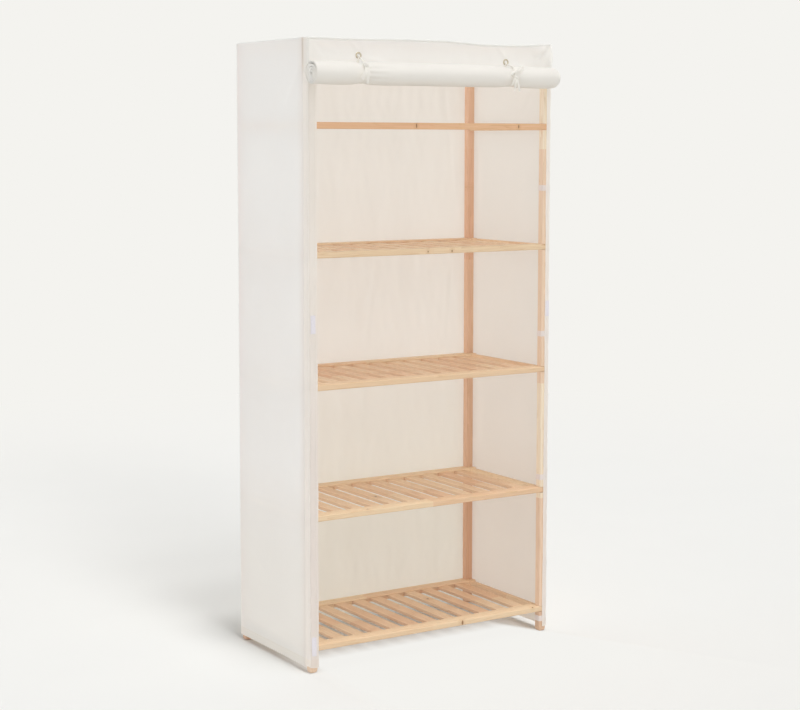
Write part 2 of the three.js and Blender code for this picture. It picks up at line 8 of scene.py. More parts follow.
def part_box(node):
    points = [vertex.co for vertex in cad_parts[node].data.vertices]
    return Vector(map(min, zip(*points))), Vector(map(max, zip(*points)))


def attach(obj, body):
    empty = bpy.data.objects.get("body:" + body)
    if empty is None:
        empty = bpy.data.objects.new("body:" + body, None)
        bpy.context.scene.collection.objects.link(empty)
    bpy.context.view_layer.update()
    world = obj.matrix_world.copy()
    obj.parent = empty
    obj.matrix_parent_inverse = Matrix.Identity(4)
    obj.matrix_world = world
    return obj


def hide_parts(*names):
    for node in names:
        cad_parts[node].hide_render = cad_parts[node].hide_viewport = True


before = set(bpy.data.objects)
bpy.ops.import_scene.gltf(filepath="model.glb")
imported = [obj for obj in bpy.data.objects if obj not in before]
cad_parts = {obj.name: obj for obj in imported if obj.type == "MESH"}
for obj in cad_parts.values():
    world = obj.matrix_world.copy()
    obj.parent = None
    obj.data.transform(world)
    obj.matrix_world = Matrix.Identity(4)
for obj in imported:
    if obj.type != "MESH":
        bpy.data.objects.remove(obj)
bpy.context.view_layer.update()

# Lengths are in millimetres, with y = 0 at the middle of the wooden frame, until a mesh is made
MM = 0.001
HALF_POST_SPAN = 187.5
post_low, post_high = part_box("post_front_left_bay_1")
frame_y = (post_low[1] + post_high[1]) / 2 + HALF_POST_SPAN * MM

# Camera: its place, its turns in radians, and its focal length and centre in the photo's pixels
EYE = (-2659.151, -4202.865, 1426.709)
YAW, PITCH, ROLL = 0.5690, -0.0978, 0.0011
FOCAL_PX, CENTRE_X_PX, CENTRE_Y_PX = 1748.47, 403.969, 313.509
PHOTO_WIDTH, PHOTO_HEIGHT = 800, 710

# Wooden frame
POST_X = 384
POST_HALF = 11
RAIL_HALF = 8
SHELF_LEVELS = (67, 420.6, 774.2, 1127.8)
BAR_LEVEL = 1469.8
TOP_RAIL_LEVEL = 1681.5
POST_PLACES_X = (-POST_X, POST_X)
POST_PLACES_Y = (-HALF_POST_SPAN, HALF_POST_SPAN)

# Cover
SIDE_X = 397.4
BACK_Y = 200.9
FRONT_Y = -BACK_Y
SEAM_Y = -173.5
SEAM_DEPTH, SEAM_WIDTH = 1.8, 2.2
SEAM_CALM, SIDE_CALM, BACK_CALM, TOP_CALM = 7, 14, 12, 12
SEAM_BEAD, SEAM_STAND, REAR_STAND = 1.15, 0.15, 0.1
CLOTH = 1.2
HEM_TOP = 39
HEM_LOW = 15
HEM_EXTRA = 0.9
HEM_STITCHES = HEM_TOP - 2.2
STRIP_TOP = 1606.45
STRIP_WIDTHS = {-1: (25.6, 25.3), 1: (15.6, 15.6)}
STRIP_HEM = 9
STRIP_STITCHES = STRIP_HEM - 1.8
HEADER_LOW = 1606.5
ROOF_Z = 1699.4
ROOF_SAG = 6
ROOF_HALF_X, ROOF_HALF_Y = 395, 198
SINK_ON_WOOD = 0.9
CORNER = 5
PANEL_STEP = 6.0
SIDES = ((-1, "left"), (1, "right"))

# How far the front roof seam lies below its plain height, at places from left to right
TOP_EDGE = (
    (-398, 1.4), (-378, 1.2), (-360, 0), (-345, -0.2), (-285, 0.8), (-223, -0.2), (-113, -2.2),
    (-17, -3.2), (32, -2.8), (78, -1.4), (125, 1.8), (172, 3.4), (207, 3.6), (262, 2.6),
    (321, 0.6), (350, -1.6), (376, -4.0), (398, -5.2),
)

# Rolled-up door
ROLL_Y, ROLL_Z = -233.1, 1606.5
ROLL_START = 31.3
ROLL_TURNS = 15.1
ROLL_PITCH = 1.60
ROLL_CLOTH = 0.9
ROLL_LOOSE_END = 1.6
STEPS_A_TURN, LOOSE_END_STEPS = 34, 110
ROLL_LEFT, ROLL_RIGHT = -405.5, 387.5
# Where windings lie loose: turns in from the outer edge, and the gap
ROLL_GAPS = ((0.85, 0.5), (3.1, 1.3), (7.4, 0.9), (11.3, 0.8))

# Ties, left and right: the place on the roll, the eyelet's x and z, and the knot's angle round the roll
TIE_PLACES = (-254.5, 223.5)
EYELETS = ((-244, 1654.5), (236.5, 1648.5))
KNOT_ANGLES = (math.radians(139), math.radians(161))
PINCH = 0.16
PINCH_LENGTH = 20
TAPE = 7.5
TAPE_THICK = 0.8
BAND_SKIN = ROLL_START * (1 - PINCH) + ROLL_CLOTH / 2 + 0.4

# Straps round the right front post
STRAP_BASE, STRAP_STEP, STRAP_HALF = 39, 419, 8
STRAP_THICK, STRAP_GAP = 1.0, 0.35

# Folds of each panel: seed, count, least and greatest length, least and greatest angle, sharpness
FOLDS = {
    "side_fall": (11, 9, (70, 260), (-14, 14), 1.0),
    "side_cross": (31, 8, (90, 300), (60, 120), 1.0),
    "side_small": (51, 14, (22, 60), (-50, 50), 1.4),
    "back_fall": (3, 12, (46, 150), (-7, 7), 1.2),
    "back_fine": (5, 14, (18, 46), (-12, 12), 1.3),
    "back_cross": (7, 8, (110, 320), (55, 125), 1.0),
    "roof_fold": (17, 10, (60, 220), (-90, 90), 1.2),
    "roof_fine": (19, 12, (20, 60), (-90, 90), 1.0),
    "strip_edge": (61, 6, (110, 420), (90, 90.001), 1.0),
    "strip_fold": (71, 12, (50, 170), (35, 145), 1.2),
    "strip_fine": (81, 10, (26, 60), (30, 150), 1.0),
    "header_fold": (91, 12, (60, 200), (-35, 35), 1.2),
    "header_fine": (93, 12, (24, 60), (-60, 60), 1.0),
    "roll_fold": (101, 10, (34, 90), (-20, 20), 1.2),
}

# Single creases of each panel: start, end, width, depth, and how much longer one flank is
SIDE_CREASES = (
    *(row for level in SHELF_LEVELS for row in (
        ((-170, level + 6), (196, level + 9), 5.0, 0.9, 0.3),
        ((-120, level - 30), (150, level - 52), 16.0, -0.9, -0.3),
    )),
    ((-172, 1675), (196, 1668), 7.0, 0.8, 0.0),
    ((-168, 1640), (-60, 1500), 12.0, 1.2, 0.3),
    ((-90, 1500), (-150, 1420), 8.0, 0.8, 0.0),
    ((190, 1560), (60, 1440), 12.0, 0.9, -0.3),
    ((180, 330), (20, 200), 14.0, 0.9, 0.0),
    ((-165, 520), (-40, 620), 14.0, 1.0, 0.0),
)
BACK_CREASES = (
    *(((-380, level + 7), (380, level + 7), 5.0, 0.8, 0.3) for level in SHELF_LEVELS),
    ((300, 1640), (344, 1180), 7.0, -1.4, 0.3),
    ((330, 1090), (310, 800), 6.0, -1.3, -0.3),
    ((-200, 1600), (-160, 1180), 9.0, -1.1, 0.0),
    ((60, 1080), (20, 820), 8.0, 1.0, 0.0),
    ((350, 740), (336, 470), 6.0, 1.2, 0.0),
)
ROOF_CREASES = (
    ((-380, -190), (-250, -60), 9.0, 1.2, 0.0),
    ((375, 185), (260, 60), 9.0, 1.2, 0.0),
)
STRIP_CREASES = tuple(
    ((3, level - 24), (46, level + 28), 7.0, 0.8, 0.4)
    for level in (210, 470, 700, 880, 1060, 1290, 1480, 1560)
)
HEADER_CREASES = (
    *(row for eye, high in EYELETS for row in (
        ((eye, high + 11), (eye - 40, high + 54), 5.0, 1.8, 0.3),
        ((eye + 6, high + 11), (eye + 62, high + 48), 6.0, 1.5, -0.3),
        ((eye + 8, high - 4), (eye + 90, high - 18), 6.0, 1.6, 0.3),
        ((eye - 8, high - 6), (eye - 70, high - 24), 6.0, 1.4, 0.0),
    )),
    ((380, 1702), (336, 1664), 7.0, 2.4, 0.3),
    ((391, 1700), (346, 1655), 5.5, -6.5, -0.2),
    ((392, 1690), (358, 1608), 7.0, -1.9, 0.2),
    ((-392, 1694), (-340, 1622), 7.0, 1.2, 0.3),
    ((-380, 1690), (-300, 1660), 6.0, 0.8, 0.0),
)

# Knots in the pine: the middle, then the half length along x, y and z
KNOTS = (
    (-58.0, -198.5, 1470.5, 2.2, 4.0, 6.5),
    (285.5, -198.5, 1470.0, 2.0, 4.0, 5.5),
    (100.7, -199.5, 67.0, 3.4, 5.0, 7.5),
    (350.0, -196.5, 75.0, 2.6, 3.0, 2.4),
    (-19.7, -198.5, 1127.0, 1.8, 3.0, 3.0),
    (59.9, -198.5, 1126.0, 2.2, 3.0, 3.6),
    (-210.0, -190.0, 428.6, 4.0, 3.0, 2.4),
    (384.0, -176.0, 640.0, 3.0, 3.0, 4.5),
    (-384.0, -176.0, 930.0, 3.2, 3.0, 4.5),
    (152.5, 60.0, 71.0, 4.0, 5.5, 3.0),
    (-91.5, -40.0, 424.6, 3.4, 5.0, 3.0),
    (384.0, 187.5, 1290.0, 12.0, 4.0, 4.0),
)

scene = bpy.context.scene
AXIS_Z = np.array([0.0, 0.0, 1.0])


def to_frame(places):
    """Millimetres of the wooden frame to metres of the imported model."""
    placed = np.array(places, dtype=float) * MM
    placed[..., 1] += frame_y
    return placed


def make_camera():
    data = bpy.data.cameras.new("camera")
    data.sensor_width = 36
    data.lens = FOCAL_PX * data.sensor_width / PHOTO_WIDTH
    data.shift_x = (PHOTO_WIDTH / 2 - CENTRE_X_PX) / PHOTO_WIDTH
    data.shift_y = (CENTRE_Y_PX - PHOTO_HEIGHT / 2) / PHOTO_WIDTH
    data.clip_end = 100
    camera = bpy.data.objects.new("camera", data)
    scene.collection.objects.link(camera)
    ahead = np.array([math.sin(YAW) * math.cos(PITCH), math.cos(YAW) * math.cos(PITCH), math.sin(PITCH)])
    right = np.cross(ahead, AXIS_Z)
    right /= np.linalg.norm(right)
    up = np.cross(right, ahead)
    tilted_right = math.cos(ROLL) * right + math.sin(ROLL) * up
    tilted_up = math.cos(ROLL) * up - math.sin(ROLL) * right
    turn = Matrix(np.stack([tilted_right, tilted_up, -ahead], axis=1).tolist()).to_4x4()
    camera.matrix_world = Matrix.Translation(Vector(to_frame(EYE))) @ turn
    scene.camera = camera


make_camera()


# Materials

class Nodes:
    """Short names for building the nodes of a material or a world."""

    def __init__(self, owner):
        self.owner = owner
        owner.use_nodes = True
        self.tree = owner.node_tree
        self.tree.nodes.clear()

    def add(self, kind, inputs=None, **settings):
        node = self.tree.nodes.new(kind)
        for key, value in settings.items():
            setattr(node, key, value)
        for key, value in (inputs or {}).items():
            if isinstance(value, bpy.types.NodeSocket):
                self.tree.links.new(value, node.inputs[key])
            else:
                node.inputs[key].default_value = value
        return node

    def place(self):
        return self.add("ShaderNodeTexCoord").outputs["Object"]

    def math(self, operation, a, b=0.0, c=0.0):
        return self.add("ShaderNodeMath", {0: a, 1: b, 2: c}, operation=operation).outputs[0]

    def times(self, a, b):
        return self.math("MULTIPLY", a, b)

    def vector(self, operation, a, b=(0, 0, 0)):
        return self.add("ShaderNodeVectorMath", {0: a, 1: b}, operation=operation).outputs[0]

    def length(self, vector):
        return self.add("ShaderNodeVectorMath", {0: vector}, operation="LENGTH").outputs["Value"]

    def split(self, vector):
        return list(self.add("ShaderNodeSeparateXYZ", {0: vector}).outputs)

    def noise(self, vector, scale, detail=3.0, roughness=0.55, distortion=0.0):
        inputs = {
            "Vector": vector, "Scale": scale, "Detail": detail,
            "Roughness": roughness, "Distortion": distortion,
        }
        return self.add("ShaderNodeTexNoise", inputs).outputs["Fac"]

    def ramp(self, value, low, high, start=0.0, end=1.0):
        inputs = {"Value": value, "From Min": low, "From Max": high, "To Min": start, "To Max": end}
        return self.add("ShaderNodeMapRange", inputs, clamp=True).outputs[0]

    def mix(self, factor, a, b):
        """A colour between two, each a socket or red, green and blue."""
        a, b = (c if isinstance(c, bpy.types.NodeSocket) else (*c, 1) for c in (a, b))
        return self.add("ShaderNodeMix", {0: factor, 6: a, 7: b}, data_type="RGBA").outputs[2]

    def mix_value(self, factor, a, b):
        return self.add("ShaderNodeMix", {0: factor, 2: a, 3: b}, data_type="FLOAT").outputs[0]

    def mix_shader(self, factor, a, b):
        return self.add("ShaderNodeMixShader", {0: factor, 1: a, 2: b}).outputs[0]

    def bump(self, height, strength, distance, normal=None):
        inputs = {"Height": height, "Strength": strength, "Distance": distance}
        if normal is not None:
            inputs["Normal"] = normal
        return self.add("ShaderNodeBump", inputs).outputs[0]

    def face(self, colour, roughness, normal, more):
        inputs = {"Base Color": colour, "Roughness": roughness, "Normal": normal, **more}
        return self.add("ShaderNodeBsdfPrincipled", inputs).outputs[0]

    def finish(self, shader, output="ShaderNodeOutputMaterial"):
        self.add(output, {"Surface": shader})
        return self.owner


PLAIN = (1.0, 1.0, 1.0)
YARN, TAPE_YARN = 0.42, 0.55
GLOW = (0.950, 0.938, 0.914)
HEM_TINT = (0.995, 0.985, 0.965)
# Painted shade along the front seam: a broad band beside it, and a narrow dark line on it above the strips
SEAM_BAND_SHADE, SEAM_LINE_SHADE = (0.880, 0.835, 0.800), (0.60, 0.50, 0.42)


def cloth_material(name, pale, shade, through, glow=GLOW, painted_low_shade=PLAIN, low_from=0.85, painted_seam_shade=0.0,
                   yarn=YARN):
    """Plain-woven cotton with yarns at their real pitch, slub yarns and handling creases. Below low_from, in
    metres, its colour darkens towards the bottom, painted shade, and painted shade can darken it along its
    front seam."""
    n = Nodes(bpy.data.materials.new(name))
    uv = n.add("ShaderNodeUVMap", uv_map="cut").outputs[0]
    place = n.place()
    u, v, _ = n.split(uv)
    _, depth, height = n.split(place)
    turns = math.pi / (yarn * MM)
    weave = n.times(n.math("SINE", n.times(u, turns)), n.math("SINE", n.times(v, turns)))
    across_yarns, along_yarns = 1 / (2 * yarn * MM), 12
    slub_warp = n.noise(n.vector("MULTIPLY", uv, (across_yarns, along_yarns, 1)), 1.0, 1.0)
    slub_weft = n.noise(n.vector("MULTIPLY", uv, (along_yarns, across_yarns, 1)), 1.0, 1.0)
    slubs = n.math("ADD", slub_warp, slub_weft)
    cloudy = n.noise(place, 5.0, 4.0)
    crumple = n.noise(place, 26.0, 5.0, 0.62, 0.8)
    cloud_tone = n.times(n.ramp(cloudy, 0.3, 0.7), 0.65)
    tone = n.math("MULTIPLY_ADD", n.ramp(slubs, 0.7, 1.3), 0.35, cloud_tone)
    # Painted shade: the colour darkens towards the bottom, below low_from
    low_shade_and_hem_tint = n.mix(n.ramp(height, low_from, low_from * 0.45), PLAIN, painted_low_shade)
    doubled = n.ramp(height, (HEM_TOP + 0.6) * MM, (HEM_TOP - 0.6) * MM)
    low_shade_and_hem_tint = n.vector("MULTIPLY", low_shade_and_hem_tint, n.mix(doubled, PLAIN, HEM_TINT))
    colour = n.vector("MULTIPLY", n.mix(tone, shade, pale), low_shade_and_hem_tint)
    if painted_seam_shade:
        # Painted shade: a broad darker band beside the front seam, and above the strips a narrow dark line on
        # it
        off = n.math("ABSOLUTE", n.math("SUBTRACT", depth, frame_y + SEAM_Y * MM))
        high = n.ramp(height, STRIP_TOP * MM - 0.03, STRIP_TOP * MM + 0.04, 0.03, 1.0)
        colour = n.mix(n.ramp(off, 0.030, 0.004, 0.0, 0.55), colour, SEAM_BAND_SHADE)
        colour = n.mix(n.times(n.ramp(off, 0.0020, 0.0075, painted_seam_shade, 0.0), high), colour, SEAM_LINE_SHADE)
    normal = n.bump(crumple, 0.35, 0.0022)
    normal = n.bump(slubs, 0.25, 0.00025, normal)
    normal = n.bump(weave, 0.3, 0.00012, normal)
    sheen = {"Sheen Weight": 0.15, "Sheen Roughness": 0.5, "Specular IOR Level": 0.25}
    face = n.face(colour, 0.9, normal, sheen)
    lit = n.add("ShaderNodeBsdfTranslucent", {"Color": n.vector("MULTIPLY", low_shade_and_hem_tint, glow)}).outputs[0]
    return n.finish(n.mix_shader(through, face, lit))


def thread_material():
    n = Nodes(bpy.data.materials.new("thread"))
    twist = n.noise(n.place(), 2600.0, 2.0)
    colour = n.mix(twist, (0.66, 0.62, 0.55), (0.84, 0.80, 0.73))
    return n.finish(n.face(colour, 0.75, n.bump(twist, 0.4, 0.0002), {}))


def hook_material(name, pale, shade):
    """Hook-and-loop tape: a fuzzy pile of fine loops."""
    n = Nodes(bpy.data.materials.new(name))
    place = n.place()
    pile = n.add("ShaderNodeTexVoronoi", {"Vector": place, "Scale": 900.0}).outputs["Distance"]
    fuzz = n.noise(place, 420.0, 4.0, 0.7)
    normal = n.bump(pile, 0.7, 0.0006, n.bump(fuzz, 0.5, 0.001))
    return n.finish(n.face(n.mix(n.times(pile, fuzz), pale, shade), 0.85, normal, {"Sheen Weight": 0.4}))


def brass_material():
    n = Nodes(bpy.data.materials.new("aged_brass"))
    place = n.place()
    tarnish = n.noise(place, 260.0, 5.0, 0.65)
    scratch = n.noise(n.vector("MULTIPLY", place, (1, 1, 9)), 700.0, 2.0)
    colour = n.mix(n.ramp(tarnish, 0.35, 0.7), (0.66, 0.60, 0.48), (0.42, 0.35, 0.25))
    rough = n.ramp(tarnish, 0.3, 0.75, 0.22, 0.5)
    return n.finish(n.face(colour, rough, n.bump(scratch, 0.12, 0.0002), {"Metallic": 1.0}))


# Size of the cell that a board fills, by the axis that it runs along, and the lowest cell's start
BOARD_CELLS = ((0.9, 0.12, 0.30), (0.061, 0.9, 0.30), (0.3, 0.2, 0.337))
CELL_STARTS = (0.02, 0.02, -0.0587)
SLAT_TONE = (1.09, 1.07, 1.09)
RAIL_EDGE = frame_y - 0.1585


def grain(n, place, axis, seed, tone):
    """Colour and height of pine cut along one axis; tone scales their red, green and blue: the boards' own
    colour, and in the darker and paler copies also painted shade and light.
    """

    def toned(*colour):
        return tuple(min(0.95, value * share) for value, share in zip(colour, tone))

    def stretched(vector, across, along):
        return n.vector("MULTIPLY", vector, tuple(along if i == axis else across for i in range(3)))

    cell = n.vector("DIVIDE", n.vector("ADD", place, (0, 0, CELL_STARTS[axis])), BOARD_CELLS[axis])
    numbered = n.vector("ADD", n.vector("FLOOR", cell), (seed, seed * 2.0, 0.5))
    board = n.add("ShaderNodeTexWhiteNoise", {"Vector": numbered}).outputs["Color"]
    own = n.vector("ADD", place, n.vector("MULTIPLY", board, (0.7, 0.7, 0.7)))
    swirl = knots = 0.0
    for x, y, z, *halves in KNOTS:
        size = tuple(half * MM for half in halves)
        offset = n.vector("DIVIDE", n.vector("SUBTRACT", place, tuple(to_frame((x, y, z)))), size)
        distance = n.length(offset)
        knots = n.math("MAXIMUM", knots, n.ramp(distance, 0.6, 1.15, 1.0, 0.0))
        swirl = n.math("MAXIMUM", swirl, n.ramp(distance, 0.8, 5.0, 1.0, 0.0))
    wander = n.noise(stretched(own, 62.0, 2.6), 1.0, 2.0, 0.5)
    sections = n.split(own)
    del sections[axis]
    slope = n.math("ADD", n.times(sections[0], 150.0), n.times(sections[1], 95.0))
    phase = n.math("MULTIPLY_ADD", swirl, 5.0, n.math("MULTIPLY_ADD", wander, 9.0, slope))
    late = n.math("POWER", n.math("FRACT", phase), 3.0)
    fibre = n.noise(stretched(own, 900.0, 14.0), 1.0, 3.0, 0.6)
    choice = n.add("ShaderNodeSeparateColor", {0: board}).outputs
    early_colour = n.mix(choice[0], toned(0.745, 0.480, 0.300), toned(0.815, 0.635, 0.425))
    late_colour = n.mix(choice[1], toned(0.600, 0.365, 0.190), toned(0.650, 0.425, 0.235))
    colour = n.mix(n.times(late, 0.62), early_colour, late_colour)
    colour = n.mix(n.ramp(fibre, 0.35, 0.75, 0.0, 0.35), colour, toned(0.82, 0.66, 0.46))
    colour = n.mix(n.times(swirl, 0.25), colour, (0.52, 0.28, 0.12))
    colour = n.mix(n.times(knots, 0.85), colour, (0.22, 0.085, 0.030))
    return colour, n.math("MULTIPLY_ADD", late, 0.5, n.times(fibre, 0.6))


def end_grain(n, place):
    """Arcs of growth rings where a board is cut across."""
    centre = n.vector("ADD", place, (0.031, 0.043, 0.027))
    distance = n.length(n.vector("MODULO", centre, (0.06, 0.06, 0.06)))
    ring = n.math("FRACT", n.times(distance, 420.0))
    return n.mix(n.math("POWER", ring, 2.0), (0.66, 0.44, 0.25), (0.46, 0.27, 0.13))


def pine_material(name, axis, seed, tone=PLAIN, painted_low_shade=None, slat_axis=None):
    """Pine along an axis. Slats can run along another axis, behind the inner edge of the front rail."""
    n = Nodes(bpy.data.materials.new(name))
    place = n.place()
    _, depth, up = n.split(place)
    facing = n.split(n.add("ShaderNodeNewGeometry").outputs["True Normal"])

    def cut_across(along):
        return n.ramp(n.math("ABSOLUTE", facing[along]), 0.75, 0.95)

    colour, height = grain(n, place, axis, seed, tone)
    end = cut_across(axis)
    if slat_axis is not None:
        behind = n.ramp(depth, RAIL_EDGE - 0.00005, RAIL_EDGE + 0.00005)
        slat_colour, slat_height = grain(n, place, slat_axis, seed + 3, SLAT_TONE)
        # Painted shade: slat sides that face along x are darker and redder
        slat_side_shade = n.ramp(n.math("ABSOLUTE", facing[0]), 0.6, 0.9, 0.0, 0.35)
        slat_colour = n.mix(slat_side_shade, slat_colour, (0.50, 0.30, 0.19))
        colour = n.mix(behind, colour, slat_colour)
        height = n.mix_value(behind, height, slat_height)
        end = n.mix_value(behind, end, cut_across(slat_axis))
    colour = n.mix(end, colour, end_grain(n, place))
    # Painted shade: the pine darkens towards the bottom
    if painted_low_shade is not None:
        colour = n.vector("MULTIPLY", colour, n.mix(n.ramp(up, 1.40, 0.45), PLAIN, painted_low_shade))
    rough = n.ramp(height, 0.2, 0.9, 0.42, 0.58)
    return n.finish(n.face(colour, rough, n.bump(height, 0.25, 0.0004), {"Specular IOR Level": 0.35}))


cover_cloth = cloth_material(
    "cover_cotton", (0.950, 0.947, 0.938), (0.922, 0.917, 0.904), 0.42, glow=(0.950, 0.943, 0.930),
    painted_low_shade=(0.980, 0.972, 0.955), low_from=0.55, painted_seam_shade=0.5)
# A darker copy of the cover cotton for the header and the front and side roof seams: painted shade
front_cloth_painted_shade = cloth_material(
    "front_cotton_painted_shade", (0.898, 0.902, 0.892), (0.868, 0.870, 0.855), 0.42, painted_seam_shade=0.55)
# The strips: a darker copy of the cotton on their front faces, painted shade, and a lighter copy on their
# side faces, painted light
strip_cloth_painted_shade = cloth_material(
    "strip_cotton_painted_shade", (0.880, 0.842, 0.795), (0.850, 0.810, 0.760), 0.35,
    painted_low_shade=(0.960, 0.945, 0.950), low_from=1.1)
strip_side_cloth_painted_light = cloth_material("strip_side_cotton_painted_light", (0.950, 0.915, 0.875), (0.920, 0.882, 0.838), 0.35)
# Darker, warmer copies of the cover cotton for the back and the right side: painted shade, as inside the
# wardrobe
back_panel_cloth_painted_shade = cloth_material(
    "back_cotton_painted_shade", (0.895, 0.872, 0.842), (0.865, 0.840, 0.806), 0.5, glow=(0.930, 0.908, 0.878),
    painted_low_shade=(0.970, 0.972, 0.950), low_from=0.80)
right_panel_cloth_painted_shade = cloth_material(
    "right_side_cotton_painted_shade", (0.892, 0.868, 0.837), (0.862, 0.836, 0.801), 0.5, glow=(0.927, 0.903, 0.872),
    painted_low_shade=(0.968, 0.950, 0.935), low_from=0.85)
# A darker copy of the cotton for the rolled door: painted shade
roll_cloth_painted_shade = cloth_material("rolled_cotton_painted_shade", (0.872, 0.845, 0.796), (0.844, 0.814, 0.760), 0.1)
# A much lighter copy of the cotton for the roll's end faces: painted light
roll_end_cloth_painted_light = cloth_material("roll_end_cotton_painted_light", (0.985, 0.960, 0.915), (0.965, 0.938, 0.890), 0.1)
tape_cloth = cloth_material("tape_cotton", (0.880, 0.855, 0.805), (0.835, 0.805, 0.745), 0.1, yarn=TAPE_YARN)
thread = thread_material()
hook_pile = hook_material("hook_pile", (0.87, 0.84, 0.89), (0.66, 0.63, 0.67))
strap_pile = hook_material("strap_pile", (0.87, 0.78, 0.74), (0.67, 0.59, 0.56))
brass = brass_material()
pine_x = pine_material("pine_along_x", 0, 1.0, (1.08, 1.08, 1.10))
pine_y = pine_material("pine_along_y", 1, 2.0, (1.05, 1.04, 1.04))
# The bar, the rear posts and the front right foot get darker copies of the pine, painted shade; the front
# posts a paler one, painted light
pine_bar_painted_shade = pine_material("pine_of_the_bar_painted_shade", 0, 6.0, (1.05, 0.95, 0.88))
pine_front_post_painted_light = pine_material("pine_upright_painted_light", 2, 3.0, (1.10, 1.22, 1.42))
pine_rear_post_painted_shade = pine_material("pine_upright_painted_shade", 2, 5.0, (1.02, 0.92, 0.97), painted_low_shade=(0.88, 0.87, 0.85))
pine_foot_painted_shade = pine_material("pine_of_the_foot_painted_shade", 2, 3.0, (0.98, 1.0, 1.10))
pine_shelf = pine_material("pine_rail_and_slats", 0, 4.0, slat_axis=1)


def pine_of(name):
    """The pine of a wooden node, by the way that its boards run, or None for another node."""
    if name.startswith("post_strap"):
        return None
    # The front right foot and the rear posts take darker copies of the pine, painted shade, and the front
    # posts a paler one, painted light
    if name == "foot_front_right":
        return pine_foot_painted_shade
    if name.startswith(("post_", "foot_")):
        return pine_front_post_painted_light if "_front_" in name else pine_rear_post_painted_shade
    if name.endswith("front_rail_and_slats"):
        return pine_shelf
    if "side_rail" in name or "side_bar" in name:
        return pine_y
    if name == "clothes_bar":
        return pine_bar_painted_shade
    return pine_x if "rail" in name else None


for node_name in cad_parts:
    pine = pine_of(node_name)
    if pine:
        for material_slot in bpy.data.objects[node_name].material_slots:
            material_slot.material = pine


# Mesh helpers

def points(x, y, z):
    """Places from arrays or single values of x, y and z."""
    return np.stack(np.broadcast_arrays(x, y, z), axis=-1)


def grid_uv(u, v):
    """A flat cut of the cloth, from its two edges' places."""
    return np.stack(np.meshgrid(u, v, indexing="ij"), axis=-1)


def run_along(path):
    """The length run along a path at each of its points."""
    return np.concatenate([[0], np.cumsum(np.linalg.norm(np.diff(path, axis=0), axis=1))])


def at_run(where, run, path):
    """The place on a path after a length of it."""
    return np.array([np.interp(where, run, path[:, k]) for k in range(3)])


def make_piece(name, verts, faces, material, nodes=(), uv=None, sharp=50):
    """A mesh piece that rides on the frame, with its cut as a UV map in metres."""
    mesh = bpy.data.meshes.new(name)
    mesh.from_pydata(to_frame(verts).tolist(), [], faces.tolist() if hasattr(faces, "tolist") else faces)
    mesh.validate()
    if uv is not None:
        layer = mesh.uv_layers.new(name="cut")
        loops = np.empty(len(mesh.loops), dtype=np.int32)
        mesh.loops.foreach_get("vertex_index", loops)
        layer.data.foreach_set("uv", (np.asarray(uv) * MM)[loops].astype(np.float32).ravel())
    mesh.materials.append(material)
    mesh.shade_smooth()
    mesh.set_sharp_from_angle(angle=math.radians(sharp))
    piece = bpy.data.objects.new(name, mesh)
    scene.collection.objects.link(piece)
    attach(piece, "root")
    if nodes:
        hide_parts(*nodes)
    return piece


def grid_normals(mid):
    normals = np.cross(np.gradient(mid, axis=0), np.gradient(mid, axis=1))
    return normals / np.maximum(np.linalg.norm(normals, axis=2, keepdims=True), 1e-9)


def shell(mid, uv, thick):
    """Vertices, faces and UVs of a closed body round a grid of mid-surface points."""
    count_u, count_v = mid.shape[:2]
    normals = grid_normals(mid)
    half = np.asarray(thick, dtype=float) / 2
    half = half[..., None] if half.ndim else half
    top = (mid + normals * half).reshape(-1, 3)
    low = (mid - normals * half).reshape(-1, 3)
    other = count_u * count_v
    index = np.arange(other).reshape(count_u, count_v)
    a, b, c, d = index[:-1, :-1], index[1:, :-1], index[1:, 1:], index[:-1, 1:]
    face_top = np.stack([a, b, c, d], axis=-1).reshape(-1, 4)
    face_low = np.stack([a, d, c, b], axis=-1).reshape(-1, 4) + other
    loop = np.concatenate([index[:, 0], index[-1, 1:], index[-2::-1, -1], index[0, -2::-1]])
    rim = np.stack([loop[1:], loop[:-1], loop[:-1] + other, loop[1:] + other], axis=-1)
    cut = uv.reshape(-1, 2)
    return np.concatenate([top, low]), np.concatenate([face_top, face_low, rim]), np.concatenate([cut, cut])


def shell_piece(name, mid, uv, thick, material, nodes=()):
    verts, faces, cut = shell(mid, uv, thick)
    return make_piece(name, verts, faces, material, nodes, cut)


def joined(bodies):
    """Several closed bodies as one set of vertices, faces and, where they have them, UVs."""
    verts, faces, cuts = zip(*bodies)
    starts = np.cumsum([0] + [len(part) for part in verts[:-1]])
    moved = [part + start for part, start in zip(faces, starts)]
    return np.concatenate(verts), np.concatenate(moved), None if cuts[0] is None else np.concatenate(cuts)


def second_material(piece, material, least):
    """Give a second material to the faces that look along x."""
    piece.data.materials.append(material)
    for face in piece.data.polygons:
        if abs(face.normal.x) > least:
            face.material_index = 1


# Shapes of cloth

def smooth_step(value, low, high):
    t = np.clip((value - low) / (high - low), 0, 1)
    return t * t * (3 - 2 * t)


def ridge(distance, width):
    """A rounded ridge of height 1 along a line."""
    return np.exp(-(distance / width) ** 2)


def crease(u, v, start, end, width, depth, side):
    """A soft fold line from one point to another; side makes one flank longer."""
    (u0, v0), (u1, v1) = start, end
    length = math.hypot(u1 - u0, v1 - v0)
    along = ((u - u0) * (u1 - u0) + (v - v0) * (v1 - v0)) / length ** 2
    off = ((u - u0) * (v1 - v0) - (v - v0) * (u1 - u0)) / length
    fade = np.clip(1 - (2 * along - 1) ** 4, 0, 1) * ((along > 0) & (along < 1))
    width = np.where(off > 0, width * (1 + side), width * (1 - side))
    return depth * fade * np.exp(-np.abs(off / width) ** 1.5)


def with_creases(height, u, v, rows):
    for row in rows:
        height = height + crease(u, v, *row)
    return height


